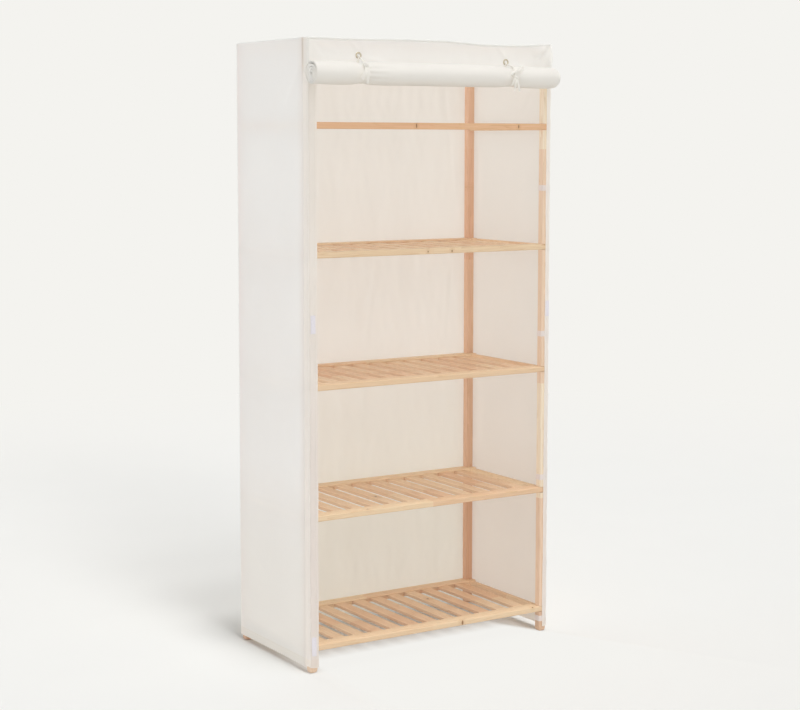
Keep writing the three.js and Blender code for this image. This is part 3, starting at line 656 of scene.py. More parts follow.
def ripples(kind, u, v, shift=0):
    """Folds of many lengths between two directions, with calm stretches between them."""
    seed, count, lengths, angles, sharp = FOLDS[kind]
    rng = np.random.default_rng(seed + shift)
    total = np.zeros_like(u, dtype=float)
    for _ in range(count):
        length = rng.uniform(*lengths)
        angle = math.radians(rng.uniform(*angles))
        phase, bend_phase = rng.uniform(0, 2 * math.pi, 2)
        across = u * math.cos(angle) + v * math.sin(angle)
        along = -u * math.sin(angle) + v * math.cos(angle)
        bend = 0.9 * np.sin(along * 2 * math.pi / (length * rng.uniform(3, 6)) + bend_phase)
        calm = 0.5 + 0.5 * np.sin(along * 2 * math.pi / (length * rng.uniform(2.5, 5)) + phase * 1.7)
        wave = np.sin(across * 2 * math.pi / length + phase + bend)
        wave = np.sign(wave) * np.abs(wave) ** sharp
        total += wave * calm * length / lengths[1]
    return total / math.sqrt(count)


def away_from(value, marks, half, reach):
    """0 on a mark, 1 at the given reach from every one."""
    nearest = np.full_like(value, 1e9, dtype=float)
    for mark in marks:
        nearest = np.minimum(nearest, np.maximum(np.abs(value - mark) - half, 0))
    return smooth_step(nearest, 0, reach)


def front_dip(x):
    """How far the front roof seam sags below its highest place."""
    places, drops = np.array(TOP_EDGE).T
    fine = np.linspace(places[0], places[-1], 200)
    width = 17
    padded = np.pad(np.interp(fine, places, drops), width // 2, mode="edge")
    return np.interp(x, fine, np.convolve(padded, np.ones(width) / width, mode="valid"))


def inside(value, low, high, reach):
    """0 at both limits, 1 at the given reach inside them."""
    return smooth_step(value, low, low + reach) * smooth_step(-value, -high, -high + reach)


def under_roof(z):
    """0 at the roof, 1 where a wall may swell."""
    return smooth_step(-z, -ROOF_Z, -ROOF_Z + TOP_CALM)


def hem_thickness(z):
    band = 1 - smooth_step(z, HEM_TOP - 0.8, HEM_TOP + 0.8)
    stitch = ridge(z - HEM_STITCHES, 0.9) * 0.5
    roll = ridge(z - HEM_LOW, 1.6) * 0.3
    return CLOTH + HEM_EXTRA * band - stitch + roll


# Cover panels

def rows_up(top):
    """Heights from the hem to the top, close together in the hem."""
    hem_rows = np.arange(HEM_LOW, HEM_TOP + 3, 1.5)
    return np.concatenate([hem_rows, np.arange(HEM_TOP + 5, top - 2, PANEL_STEP), [top]])


def side_top(sign, y):
    """How far the top of a side stands above the roof's plain height: it follows the front corner."""
    return -float(front_dip(sign * SIDE_X)) * ((BACK_Y - y) / (2 * BACK_Y)) ** 2


def side_panel(sign, word):
    depth = np.concatenate([np.linspace(SEAM_Y, SEAM_Y + 6, 6), np.linspace(SEAM_Y + 9, BACK_Y, 64)])
    y, z = np.meshgrid(depth, rows_up(ROOF_Z), indexing="ij")
    open_y = away_from(y, POST_PLACES_Y, POST_HALF, 70)
    open_z = away_from(z, (*SHELF_LEVELS, BAR_LEVEL, TOP_RAIL_LEVEL), RAIL_HALF, 90)
    fall = (0.35 + 1.5 * open_y * open_z) * ripples("side_fall", y, z, sign)
    cross = (0.25 + open_y) * ripples("side_cross", y, z, sign) * 0.8
    swell = -2.6 * open_y * open_z + fall + cross
    swell += 0.22 * ripples("side_small", y, z, sign) * (0.3 + 0.7 * open_y)
    swell = np.clip(with_creases(swell, y, z, SIDE_CREASES), -6, 4)
    near_wood = (1 - open_y) + (1 - open_z) > 1.0
    swell = np.where(near_wood, np.maximum(swell, -SINK_ON_WOOD), swell)
    edge = inside(y, SEAM_Y, BACK_Y, SIDE_CALM) * under_roof(z)
    x = sign * (SIDE_X + swell * edge - SEAM_DEPTH * ridge(y - SEAM_Y, SEAM_WIDTH))
    order = slice(None, None, sign)
    mid = points(x, y, z + side_top(sign, y) * smooth_step(z, 1640, ROOF_Z))[order]
    uv = grid_uv(depth, rows_up(ROOF_Z))[order]
    # The right side, seen from inside, takes the darker copy: painted shade
    cloth = cover_cloth if sign < 0 else right_panel_cloth_painted_shade
    piece = shell_piece(
        f"side_cloth_{word}", mid, uv, hem_thickness(mid[..., 2]), cloth, (f"cover_side_{word}",))


def back_panel():
    width = np.linspace(-SIDE_X, SIDE_X, 134)
    x, z = np.meshgrid(width, rows_up(ROOF_Z), indexing="ij")
    open_x = away_from(x, POST_PLACES_X, POST_HALF, 80)
    open_z = away_from(z, (*SHELF_LEVELS, TOP_RAIL_LEVEL), RAIL_HALF, 80)
    swell = 1.3 * open_x * open_z + (0.4 + 1.2 * open_z) * ripples("back_fall", x, z)
    swell = swell + 0.5 * ripples("back_fine", x, z) + 0.7 * ripples("back_cross", x, z) * open_x
    swell = np.clip(with_creases(swell, x, z, BACK_CREASES), -5, 5)
    swell = np.where(open_x * open_z < 0.3, np.maximum(swell, -SINK_ON_WOOD), swell)
    edge = inside(x, -SIDE_X, SIDE_X, BACK_CALM) * under_roof(z)
    mid = points(x, BACK_Y + swell * edge, z)[::-1]
    uv = grid_uv(width, rows_up(ROOF_Z))[::-1]
    piece = shell_piece("back_cloth", mid, uv, hem_thickness(z)[::-1], back_panel_cloth_painted_shade, ("cover_back",))


def roof_panel():
    width = np.linspace(-SIDE_X, SIDE_X, 134)
    depth = np.linspace(FRONT_Y, BACK_Y, 68)
    x, y = np.meshgrid(width, depth, indexing="ij")
    across = np.clip((x + ROOF_HALF_X) / (2 * ROOF_HALF_X), 0, 1)
    deep = np.clip((y + ROOF_HALF_Y) / (2 * ROOF_HALF_Y), 0, 1)
    sag = ROOF_SAG * np.sin(math.pi * across) ** 0.6 * np.sin(math.pi * deep) ** 0.8
    fold = 0.6 * ripples("roof_fold", x, y) + 0.2 * ripples("roof_fine", x, y)
    clear = POST_HALF + 1
    open_roof = away_from(x, POST_PLACES_X, clear, 60) * away_from(y, POST_PLACES_Y, clear, 60)
    z = ROOF_Z - sag - front_dip(x) * (1 - deep) ** 2 + fold * open_roof
    z = np.minimum(with_creases(z, x, y, ROOF_CREASES), ROOF_Z + 2.5)
    piece = shell_piece(
        "roof_cloth", points(x, y, z), grid_uv(width, depth), CLOTH, cover_cloth, ("cover_roof",))


def corner_path(sign, inner_x, columns_front):
    """Plan of the front cloth from the side seam round the front post to inner_x, with outward normals."""
    side_end = FRONT_Y + CORNER
    side_y = np.linspace(SEAM_Y, side_end, 7)
    angles = np.linspace(0, math.pi / 2, 10)[1:-1]
    front_x = np.linspace(SIDE_X - CORNER, inner_x, columns_front)
    xs = np.concatenate([np.full_like(side_y, SIDE_X), SIDE_X - CORNER + CORNER * np.cos(angles), front_x])
    ys = np.concatenate([side_y, side_end - CORNER * np.sin(angles), np.full_like(front_x, FRONT_Y)])
    out_x = np.concatenate([np.ones_like(side_y), np.cos(angles), np.zeros_like(front_x)])
    out_y = np.concatenate([np.zeros_like(side_y), -np.sin(angles), -np.ones_like(front_x)])
    return sign * xs, ys, sign * out_x, out_y


def plan_run(xs, ys):
    return np.concatenate([[0], np.cumsum(np.hypot(np.diff(xs), np.diff(ys)))])


def front_strip(sign, word, low_width, top_width):
    """A strip from the side seam round the front post; returns its mid surface."""
    rows = rows_up(STRIP_TOP)
    xs, ys, out_x, out_y = corner_path(sign, SIDE_X - low_width, 16)
    run = plan_run(xs, ys)
    s, z = np.meshgrid(run, rows, indexing="ij")
    width = low_width + (top_width - low_width) * ((z - HEM_LOW) / (STRIP_TOP - HEM_LOW))
    wobble = 1.1 * ripples("strip_edge", np.zeros_like(s), z, sign)
    shrink = (width + wobble - CORNER) / (low_width - CORNER)
    x, y = (np.broadcast_to(part[:, None], s.shape).copy() for part in (xs, ys))
    front = np.abs(xs) < SIDE_X - CORNER + 1e-6
    turn_x = sign * (SIDE_X - CORNER)
    x[front] = turn_x - (turn_x - x[front]) * shrink[front]
    squeezed = s * 3
    crumple = 0.55 * ripples("strip_fold", squeezed, z, sign)
    crumple += 0.35 * ripples("strip_fine", squeezed, z, sign)
    crumple = with_creases(crumple, s, z, STRIP_CREASES)
    slack = smooth_step(s, 34, run[-1]) * (0.7 + 0.7 * np.sin(z / 61 + sign))
    lift = (np.clip(crumple, -0.9, 2.2) + 0.7 * slack) * smooth_step(s, 0, SEAM_CALM)
    lift = lift - SEAM_DEPTH * ridge(s, SEAM_WIDTH)
    edge = run[-1] - s
    thick = hem_thickness(z) + 0.7 * (1 - smooth_step(edge, STRIP_HEM - 0.6, STRIP_HEM + 0.6))
    thick -= 0.45 * ridge(edge - STRIP_HEM + 1.8, 0.7)
    drawn_up = 4.5 * ridge(s - 19, 11) * (1 - smooth_step(z, HEM_TOP, 110))
    mid = points(x + out_x[:, None] * lift, y + out_y[:, None] * lift, z + drawn_up)
    order = slice(None, None, -sign)
    piece = shell_piece(
        f"front_strip_{word}", mid[order], grid_uv(run, rows)[order], thick[order], strip_cloth_painted_shade,
        (f"cover_front_return_{word}",))
    # Its side faces take the lighter copy of its cotton: painted light
    second_material(piece, strip_side_cloth_painted_light, 0.7)
    return mid


def header_panel():
    left, right = (corner_path(sign, SIDE_X - 30, 8) for sign, _ in SIDES)
    middle = np.linspace(-(SIDE_X - 34), SIDE_X - 34, 180)
    flat = np.ones_like(middle)
    xs, ys, out_x, out_y = (
        np.concatenate([start, between, end[::-1]])
        for start, between, end in zip(left, (middle, FRONT_Y * flat, 0 * flat, -flat), right))
    rows = np.concatenate([np.linspace(0, 0.88, 24), np.linspace(0.9, 1, 12)])
    run = plan_run(xs, ys)
    s, v = np.meshgrid(run, rows, indexing="ij")
    x, y = (np.broadcast_to(part[:, None], s.shape) for part in (xs, ys))
    top = ROOF_Z - 0.6 - front_dip(x)
    z = HEADER_LOW + v * (top - HEADER_LOW)
    free = np.clip(4 * v * (1 - v), 0, 1) ** 0.6
    lift = 0.7 * ripples("header_fold", x, z) + 0.3 * ripples("header_fine", x, z)
    lift = with_creases(lift, x, z, HEADER_CREASES)
    bulge = 4.8 * ridge(z - 1666, 28) * smooth_step(x, 320, 380)
    near_seam = inside(s, 0, run[-1], SEAM_CALM)
    lift = np.clip(lift * free + bulge, -0.8, 6.5) * near_seam
    groove = ridge(s, SEAM_WIDTH) + ridge(run[-1] - s, SEAM_WIDTH)
    stitched = 1.3 * ridge(top - z - 5, 1.6) * near_seam
    near_eye = np.min([np.hypot(x - eye, z - high) for eye, high in EYELETS], axis=0)
    lift = lift * smooth_step(near_eye, 10, 20) - SEAM_DEPTH * groove - stitched
    mid = points(x + out_x[:, None] * lift, y + out_y[:, None] * lift, z)
    uv = np.stack([s, z], axis=-1)
    piece = shell_piece("door_header_cloth", mid, uv, CLOTH, front_cloth_painted_shade, ("door_header",))


strips = {sign: front_strip(sign, word, *STRIP_WIDTHS[sign]) for sign, word in SIDES}
header_panel()
for side_sign, side_word in SIDES:
    side_panel(side_sign, side_word)
back_panel()
roof_panel()


# Rolled-up door

def roll_surface(angle, x):
    """How far the outer turn stands from its plain radius, in millimetres."""
    bump = 0.4 * ripples("roll_fold", angle * 31, x)
    bump += 0.6 * np.sin(angle + x / 290) * np.sin(x / 118 + 1.3)
    for place, turn in zip(TIE_PLACES, (2.4, 2.9)):
        off = x - place
        reach = np.exp(-np.abs(off) / 24) * (1 - ridge(off, 6))
        bump += 1.3 * reach * np.sin(7 * angle + turn * np.sign(off) + off / 60)
    front_left = np.mod(angle, 2 * math.pi) - math.pi
    spread = (x - TIE_PLACES[0] - 10) / 80
    wedge = np.where((spread > 0) & (spread < 1), 1 - spread, 0)
    for middle, drop in ((0.05, 0.55), (-0.45, 0.8), (0.5, 0.5)):
        bump -= 4.0 * drop * wedge * ridge(front_left - middle, 0.10 + 0.05 * spread)
    return bump


def pinch(x):
    """The share of the roll's radius that the ties leave."""
    share = np.ones_like(x)
    for place in TIE_PLACES:
        share -= PINCH * np.exp(-(np.abs(x - place) / PINCH_LENGTH) ** 1.6)
    return share


def rolled_door():
    """The door wound from its lower edge; its doubled side hems lie close together at both ends."""
    wound = ROLL_TURNS - ROLL_LOOSE_END
    turns = np.linspace(0, wound, int(wound * STEPS_A_TURN), endpoint=False)
    turns = np.concatenate([turns, np.linspace(wound, ROLL_TURNS, LOOSE_END_STEPS)])
    left_over = ROLL_TURNS - turns
    angle = -2 * math.pi * left_over
    slack = sum(gap * smooth_step(left_over, turn, turn + 0.35) for turn, gap in ROLL_GAPS)
    radius = ROLL_START - ROLL_PITCH * left_over - slack
    near_ends = np.array([0.6, 1.4, 2.6, 4.2, 6.2, 8.4, 9.6, 10.8, 13])
    columns = np.unique(np.concatenate([
        np.linspace(ROLL_LEFT, ROLL_RIGHT, 116), ROLL_LEFT + near_ends, ROLL_RIGHT - near_ends,
        *[np.linspace(place - 34, place + 34, 28) for place in TIE_PLACES],
    ]))
    a, x = np.meshgrid(angle, columns, indexing="ij")
    r, turn_left, settle = (np.broadcast_to(part[:, None], a.shape) for part in (radius, left_over, slack))
    body = pinch(x) * (1 + roll_surface(a, x) / ROLL_START)
    from_left, from_right = x - ROLL_LEFT, ROLL_RIGHT - x
    tuck = 1 - 0.24 * np.exp(-from_right / 7.5) - 0.035 * np.exp(-from_left / 4.0)
    tuck = tuck - 0.03 * smooth_step(x, -250, 380)
    reach = r * body * tuck * (1 + 0.025 * np.cos(2 * a + 0.5))
    recess = 0.8 * np.sin(a / 2.7 + 1) + 0.3 * np.sin(a * 1.3) + np.minimum(turn_left, 1.2) * 0.5
    x_end = x + recess * (smooth_step(-from_left, -30, 0) - smooth_step(-from_right, -30, 0))
    mid = points(
        x_end,
        ROLL_Y + reach * np.cos(a) + 0.35 * settle,
        ROLL_Z + reach * np.sin(a) - 0.75 * settle,
    )
    run = np.concatenate([[0], np.cumsum(np.hypot(np.diff(radius), radius[1:] * np.diff(angle)))])
    uv = np.stack([x, np.broadcast_to(run[:, None], a.shape)], axis=-1)
    end = np.minimum(from_left, from_right)
    thick = ROLL_CLOTH + 0.55 * (1 - smooth_step(end, 9.0, 10.2)) * (turn_left > 1.3)
    piece = shell_piece("door_roll_cloth", mid, uv, thick, roll_cloth_painted_shade, ("door_roll",))
    # The roll's end faces take the much lighter cotton: painted light
    second_material(piece, roll_end_cloth_painted_light, 0.8)


rolled_door()


# Ties and eyelets

def spline(p0, p1, p2, p3, t):
    """A place between p1 and p2 on the smooth curve through all four."""
    square, cube = 2 * p0 - 5 * p1 + 4 * p2 - p3, 3 * p1 - p0 - 3 * p2 + p3
    return 0.5 * (2 * p1 + (p2 - p0) * t + square * t ** 2 + cube * t ** 3)


def curve_through(corners, steps):
    """A smooth curve through the corners, evenly spaced, and its length."""
    corners = np.asarray(corners, dtype=float)
    padded = np.concatenate([[2 * corners[0] - corners[1]], corners, [2 * corners[-1] - corners[-2]]])
    shares = np.linspace(0, 1, 24, endpoint=False)
    dense = [spline(*padded[i:i + 4], t) for i in range(len(corners) - 1) for t in shares]
    dense = np.array([*dense, corners[-1]])
    run = run_along(dense)
    even = np.linspace(0, run[-1], steps)
    return np.stack([np.interp(even, run, dense[:, k]) for k in range(3)], axis=-1), run[-1]


def ribbon(corners, outs, widths, steps, cup=0.0, thick=TAPE_THICK):
    """A flat tape along the corners whose face looks towards outs; cup curls its long edges."""
    path, length = curve_through(corners, steps)
    share = np.linspace(0, 1, steps)
    keys = np.linspace(0, 1, len(corners))
    out = np.stack([np.interp(share, keys, np.asarray(outs, dtype=float)[:, k]) for k in range(3)], axis=-1)
    width = np.interp(share, np.linspace(0, 1, len(widths)), widths)
    along = np.gradient(path, axis=0)
    along /= np.linalg.norm(along, axis=1, keepdims=True)
    out -= along * np.sum(out * along, axis=1, keepdims=True)
    out /= np.maximum(np.linalg.norm(out, axis=1, keepdims=True), 1e-9)
    wide = np.cross(out, along)
    across = np.linspace(-0.5, 0.5, 7)
    mid = path[:, None, :] + wide[:, None, :] * (across[None, :, None] * width[:, None, None])
    mid = mid + cup * (4 * across ** 2)[None, :, None] * out[:, None, :]
    return shell(mid, grid_uv(share * length, across * np.mean(width)), thick)


def around_roll(x, radius, angle):
    """A point at an angle from the back of the roll: a quarter turn is its top."""
    return np.array([x, ROLL_Y + radius * math.cos(angle), ROLL_Z + radius * math.sin(angle)])


def tie_band(x, eye, high, knot_angle):
    """From the eyelet behind the roll, under it and up its front to the knot."""
    corners = [(eye, FRONT_Y + 3, high), (eye, FRONT_Y - 2.6, high - 1)]
    outs = [(0, 0, 1), (0, -0.5, 1)]
    for angle in np.linspace(math.radians(28), knot_angle - 2 * math.pi, 24):
        inward = max(0.0, -angle / (2 * math.pi)) * ROLL_PITCH
        corners.append(around_roll(x, BAND_SKIN - inward * (1 - PINCH), angle))
        outs.append((0.0, math.cos(angle), math.sin(angle)))
    return ribbon(corners, outs, [3, 3.5, 5] + [TAPE] * 16 + [6, 5], 110, cup=-0.25)


def tie_over(x, eye, high, knot_angle, knot):
    """From the eyelet over the front of the roll to the knot."""
    bend = eye * 0.55 + x * 0.45
    return ribbon(
        [(eye, FRONT_Y + 3, high + 1), (eye - 0.5, FRONT_Y - 3, high - 0.5),
         (bend + 4, FRONT_Y - 13, high - 7),
         around_roll(eye * 0.25 + x * 0.75 + 3, BAND_SKIN + 3.4, knot_angle * 0.74),
         around_roll(x + 1, BAND_SKIN + 2.8, knot_angle * 0.9), knot],
        [(0.4, 0, 1), (0.5, -0.3, 1), (0.6, -0.7, 1), (0.4, -0.8, 1), (0.2, -1, 0.9), (0, -1, 0.6)],
        [3.6, 5.0, 6.5, 7.0, 6.5, 5.5], 40, cup=-0.9, thick=1.2)


def knot_wrap(centre, wide, tall, deep, tilt):
    """A tape drawn tight once round the others, bulging at its middle."""
    angles = np.linspace(0, 2 * math.pi * 1.18, 40)
    grow = np.linspace(0, 0.9, 40)
    lean = math.tan(math.radians(tilt))
    centre_line = points(
        centre[0] + (wide / 2 + grow) * np.sin(angles),
        centre[1] - (deep / 2 + grow) * np.cos(angles),
        centre[2] + lean * wide / 2 * np.sin(angles) + grow,
    )
    out = points(np.sin(angles), -np.cos(angles), 0)
    across = np.linspace(-0.5, 0.5, 7)
    mid = centre_line[:, None, :] + across[None, :, None] * np.array([0, 0, tall])[None, None, :]
    mid = mid + out[:, None, :] * (1.3 * (1 - 4 * across ** 2))[None, :, None]
    return shell(mid[:, ::-1], grid_uv(angles * wide / 2, across * tall)[:, ::-1], TAPE_THICK)


def knot_core(centre, wide, tall, deep):
    """The tapes packed inside the wrap."""
    rings = np.linspace(0.04, math.pi - 0.04, 10)
    ring, turn = np.meshgrid(rings, np.linspace(0, 2 * math.pi, 20), indexing="ij")
    lumps = 1 + 0.07 * np.sin(3 * turn + 2 * ring)
    mid = points(
        centre[0] + wide / 2 * np.sin(ring) * np.sin(turn) * lumps,
        centre[1] + deep / 2 * np.sin(ring) * np.cos(turn) * lumps,
        centre[2] + tall / 2 * np.cos(ring),
    )
    return shell(mid, np.stack([turn * 4, ring * 4], axis=-1), TAPE_THICK)


def left_ends(knot, at):
    """A tight knot, a wide tail and a narrow one."""
    return [
        knot_core(knot, 13.0, 10.5, 9.0),
        knot_wrap(knot, 13.0, 8.5, 9.6, -12),
        ribbon([knot, at(-3, -263.5, -9), at(-8, -268, -18), at(-14.5, -269.5, -27), at(-20, -268.5, -36)],
               [(0, -1, 0.7), (0, -1, 0.5), (0.1, -1, 0.1), (0.3, -1, 0), (0.2, -1, -0.1)],
               [6, 9, 12, 14, 16], 44, cup=0.9),
        ribbon([knot, at(1.5, -263.5, -8), at(1, -268.5, -20), at(-1.5, -269, -34), at(-0.5, -266.5, -48)],
               [(0, -1, 0.7), (0.3, -1, 0.5), (-0.2, -1, 0.1), (-0.4, -1, 0), (-0.2, -1, -0.1)],
               [5, 6.5, 7.5, 7.0, 7.0], 44, cup=-0.7),
    ]


def right_ends(knot, at):
    """A knot with two loops, and a second knot below it with three tails."""
    second = knot + np.array([3.3, -3.5, -13])
    return [
        knot_core(knot, 11.0, 9.5, 7.0),
        knot_wrap(knot, 11.0, 7.5, 7.6, 16),
        ribbon([knot, at(-5, -268, 3), at(-12, -270, 1), at(-15, -271, -7), at(-8, -271, -9),
                at(0.5, -268, -3)],
               [(0, -1, 0.4), (-0.2, -0.6, 1), (-0.8, -0.3, 0.6), (-1, -0.2, -0.4), (-0.3, -0.4, -1),
                (0, -1, -0.3)],
               [5, 6.5, 7, 7, 6, 5], 44),
        ribbon([knot, at(5, -267, 7), at(13, -269, 15), at(22, -268, 18.5), at(18, -272, 8), at(4, -269, -4)],
               [(0, -1, 0.5), (-0.5, -0.5, 1), (-0.8, -0.4, 0.8), (0.5, -0.5, 1), (0.7, -0.7, -0.5),
                (0, -1, -0.5)],
               [5, 7, 8, 8, 7.5, 5], 44),
        knot_core(second, 9.0, 8.0, 6.0),
        knot_wrap(second, 9.0, 6.5, 6.6, -20),
        ribbon([second, at(-3, -269, -16), at(-9.5, -270, -24), at(-15, -269, -34)],
               [(0, -1, 0.5), (-0.3, -1, 0.3), (0.4, -1, 0.1), (0.7, -1, 0)],
               [5, 6, 6, 5], 40, cup=0.5),
        ribbon([second, at(0.5, -271, -22), at(-3, -271, -32), at(-4.5, -268.5, -48)],
               [(0, -1, 0.5), (-0.4, -1, 0.3), (0.3, -1, 0), (0.5, -1, -0.1)],
               [5, 6, 6.5, 7], 40, cup=0.5),
        ribbon([second, at(5, -271, -22), at(8, -271, -33), at(13, -268.5, -50)],
               [(0, -1, 0.5), (0.3, -1, 0.3), (0.6, -1, 0), (-0.2, -1, -0.1)],
               [5, 7, 8, 8.5], 40, cup=-0.6),
    ]


def tie(number, word, ends):
    x = TIE_PLACES[number]
    eye, high = EYELETS[number]
    knot_angle = KNOT_ANGLES[number]
    knot = around_roll(x, BAND_SKIN + 3.6, knot_angle)

    def at(across, y, up):
        """A place beside the tie and above its knot."""
        return x + across, y, knot[2] + up

    bodies = [tie_band(x, eye, high, knot_angle), tie_over(x, eye, high, knot_angle, knot), *ends(knot, at)]
    verts, faces, uv = joined(bodies)
    make_piece(f"tie_tape_{word}", verts, faces, tape_cloth, (f"tie_{word}",), uv)


tie(0, "left", left_ends)
tie(1, "right", right_ends)


def lathe(centre, axis, profile, segments=48):
    """A closed ring turned about an axis through centre; profile is (radius, height) round its section."""
    axis = np.asarray(axis, dtype=float)
    side_a = np.cross(axis, AXIS_Z)
    side_a /= np.linalg.norm(side_a)
    side_b = np.cross(axis, side_a)
    verts = []
    for turn in np.linspace(0, 2 * math.pi, segments, endpoint=False):
        out = math.cos(turn) * side_a + math.sin(turn) * side_b
        verts.extend(np.asarray(centre) + out * radius + axis * height for radius, height in profile)
    count = len(profile)
    faces = []
    for i in range(segments):
        j = (i + 1) % segments
        for k in range(count):
            m = (k + 1) % count
            faces.append((i * count + k, j * count + k, j * count + m, i * count + m))
    return np.array(verts), np.array(faces)[:, ::-1], None


def oval_section(radius, height, half_wide, half_tall, steps):
    turns = [2 * math.pi * step / steps for step in range(steps)]
    return [(radius + half_wide * math.cos(turn), height + half_tall * math.sin(turn)) for turn in turns]


EYELET_RADIUS, EYELET_FACE = 7.1, 1.1
BARREL_BORE, BARREL_RADIUS, BARREL_HALF = 5.0, 5.5, 1.3
EYELET_PROFILES = (
    oval_section(EYELET_RADIUS, EYELET_FACE, 2.15, 0.85, 20),
    oval_section(EYELET_RADIUS, -EYELET_FACE, 1.9, 0.45, 16),
    [(BARREL_BORE, -BARREL_HALF), (BARREL_RADIUS, -BARREL_HALF),
     (BARREL_RADIUS, BARREL_HALF), (BARREL_BORE, BARREL_HALF)],
)

for (eye_x, eye_z), (_, side_word) in zip(EYELETS, SIDES):
    rings = [lathe((eye_x, FRONT_Y, eye_z), (0, -1, 0), profile) for profile in EYELET_PROFILES]
    ring_verts, ring_faces, _ = joined(rings)
    make_piece(f"eyelet_ring_{side_word}", ring_verts, ring_faces, brass,
               (f"eyelet_{side_word}",), sharp=60)


# Straps round the right front post, and hook-and-loop patches on the strips

def post_strap(number):
    """One turn round the post that overlaps on its front face."""
    half = POST_HALF + STRAP_GAP + STRAP_THICK / 2
    radius = 3.2
    outline = [(3, -half)]
    for quarter, (sx, sy) in enumerate(((1, -1), (1, 1), (-1, 1), (-1, -1)), -1):
        for turn in np.linspace(quarter * math.pi / 2, (quarter + 1) * math.pi / 2, 7):
            corner_x, corner_y = sx * (half - radius), sy * (half - radius)
            outline.append((corner_x + radius * math.cos(turn), corner_y + radius * math.sin(turn)))
    outline += [(-4, -half - 0.6), (9, -half - 1.15)]
    xs, ys = np.array(outline).T
    heights = np.linspace(-STRAP_HALF, STRAP_HALF, 7)
    z = STRAP_BASE + STRAP_STEP * (number - 1) + heights[None, :]
    z = z + 0.5 * np.sin(np.arange(len(xs)) / 5 + number - 1)[:, None]
    mid = points(POST_X + xs[:, None], -HALF_POST_SPAN + ys[:, None], z)
    uv = grid_uv(plan_run(mid[:, 0, 0], mid[:, 0, 1]), heights)
    nodes = (f"post_strap_{number}",)
    shell_piece(f"post_strap_tape_{number}", mid, uv, STRAP_THICK, strap_pile, nodes)


for strap_number in range(1, 5):
    post_strap(strap_number)


def patch_on(strip, name, low, high, from_edge, width):
    """A patch sewn to the outer face of a strip, following its surface."""
    rows = strip[0, :, 2]
    heights = np.linspace(low, high, 22)
    columns = np.linspace(0, width, 8)
    mid = np.empty((len(columns), len(heights), 3))
    for j, height in enumerate(heights):
        k = int(np.clip(np.searchsorted(rows, height), 1, len(rows) - 1))
        blend = (height - rows[k - 1]) / (rows[k] - rows[k - 1])
        line = strip[:, k - 1] * (1 - blend) + strip[:, k] * blend
        run = run_along(line)
        for i, column in enumerate(columns):
            mid[i, j] = at_run(run[-1] - from_edge - column, run, line)
    if np.mean(grid_normals(mid)[..., 1]) > 0:
        mid = mid[::-1]
    mid = mid + grid_normals(mid) * (CLOTH / 2 + 0.35 + 0.45)
    edge_u, edge_v = np.minimum(columns, width - columns), np.minimum(heights - low, high - heights)
    pad = 0.5 + 0.9 * smooth_step(np.minimum(edge_u[:, None], edge_v[None, :]), 0, 1.5)
    shell_piece(name, mid, grid_uv(columns, heights), pad, hook_pile, ())


patch_on(strips[-1], "patch_left_upper", 921, 970, 7.0, 14.0)
patch_on(strips[-1], "patch_left_lower", 48, 100, 7.0, 14.0)
patch_on(strips[1], "patch_right", 928, 973, 0.8, 12.5)


# Seams and stitches

def bead(path, radius, name, material=cover_cloth, stand=1.0):
    """A rounded sewn seam along a line of points; stand makes it taller than wide."""
    along = np.gradient(path, axis=0)
    along /= np.linalg.norm(along, axis=1, keepdims=True)
    start = np.cross(along[0], (0.3, 0.5, 0.8))
    side = start / np.linalg.norm(start)
    turns = np.linspace(0, 2 * math.pi, 8, endpoint=False)
    rings = []
    for i, direction in enumerate(along):
        side = side - direction * np.dot(side, direction)
        side /= np.linalg.norm(side)
        other = np.cross(direction, side)
        size = radius * (1 + 0.12 * math.sin(i * 1.9))
        if i in (0, len(path) - 1):
            size *= 0.5
        ring = np.outer(np.cos(turns), side) * size + np.outer(np.sin(turns), other) * size
        ring[:, 2] *= stand
        rings.append(path[i] + ring)
    count = len(turns)
    faces = []
    for i in range(len(path) - 1):
        for k in range(count):
            m = (k + 1) % count
            faces.append((i * count + k, i * count + m, (i + 1) * count + m, (i + 1) * count + k))
    faces.append(tuple(range(count))[::-1])
    faces.append(tuple(range((len(path) - 1) * count, len(path) * count)))
    uv = np.stack([np.repeat(np.arange(len(path)) * 5.0, count), np.tile(turns * radius, len(path))], axis=-1)
    make_piece(name, np.concatenate(rings), faces, material, (), uv)


def seams():
    step = 12
    heights = np.concatenate([np.arange(HEM_LOW + 1, STRIP_TOP, step), [STRIP_TOP]])
    tall = np.arange(HEM_LOW + 1, ROOF_Z, step)
    deep = np.linspace(SEAM_Y, BACK_Y, 40)
    wide = np.linspace(-SIDE_X, SIDE_X, 90)
    seam_top = ROOF_Z - 0.2
    for sign, word in SIDES:
        x = sign * (SIDE_X + SEAM_STAND)
        bead(points(sign * (SIDE_X - 1.3), SEAM_Y, heights), 0.6, f"side_seam_{word}")
        bead(points(x, BACK_Y + REAR_STAND, tall), SEAM_BEAD, f"rear_seam_{word}")
        top = seam_top + side_top(sign, deep)
        bead(points(x, deep, top), SEAM_BEAD, f"roof_seam_{word}", front_cloth_painted_shade)
    bead(points(wide, BACK_Y + REAR_STAND, seam_top), SEAM_BEAD, "roof_seam_rear")
    front = points(wide, FRONT_Y - 0.2, ROOF_Z - 0.9 - front_dip(wide))
    bead(front, 1.0, "roof_seam_front", front_cloth_painted_shade, stand=1.9)


seams()


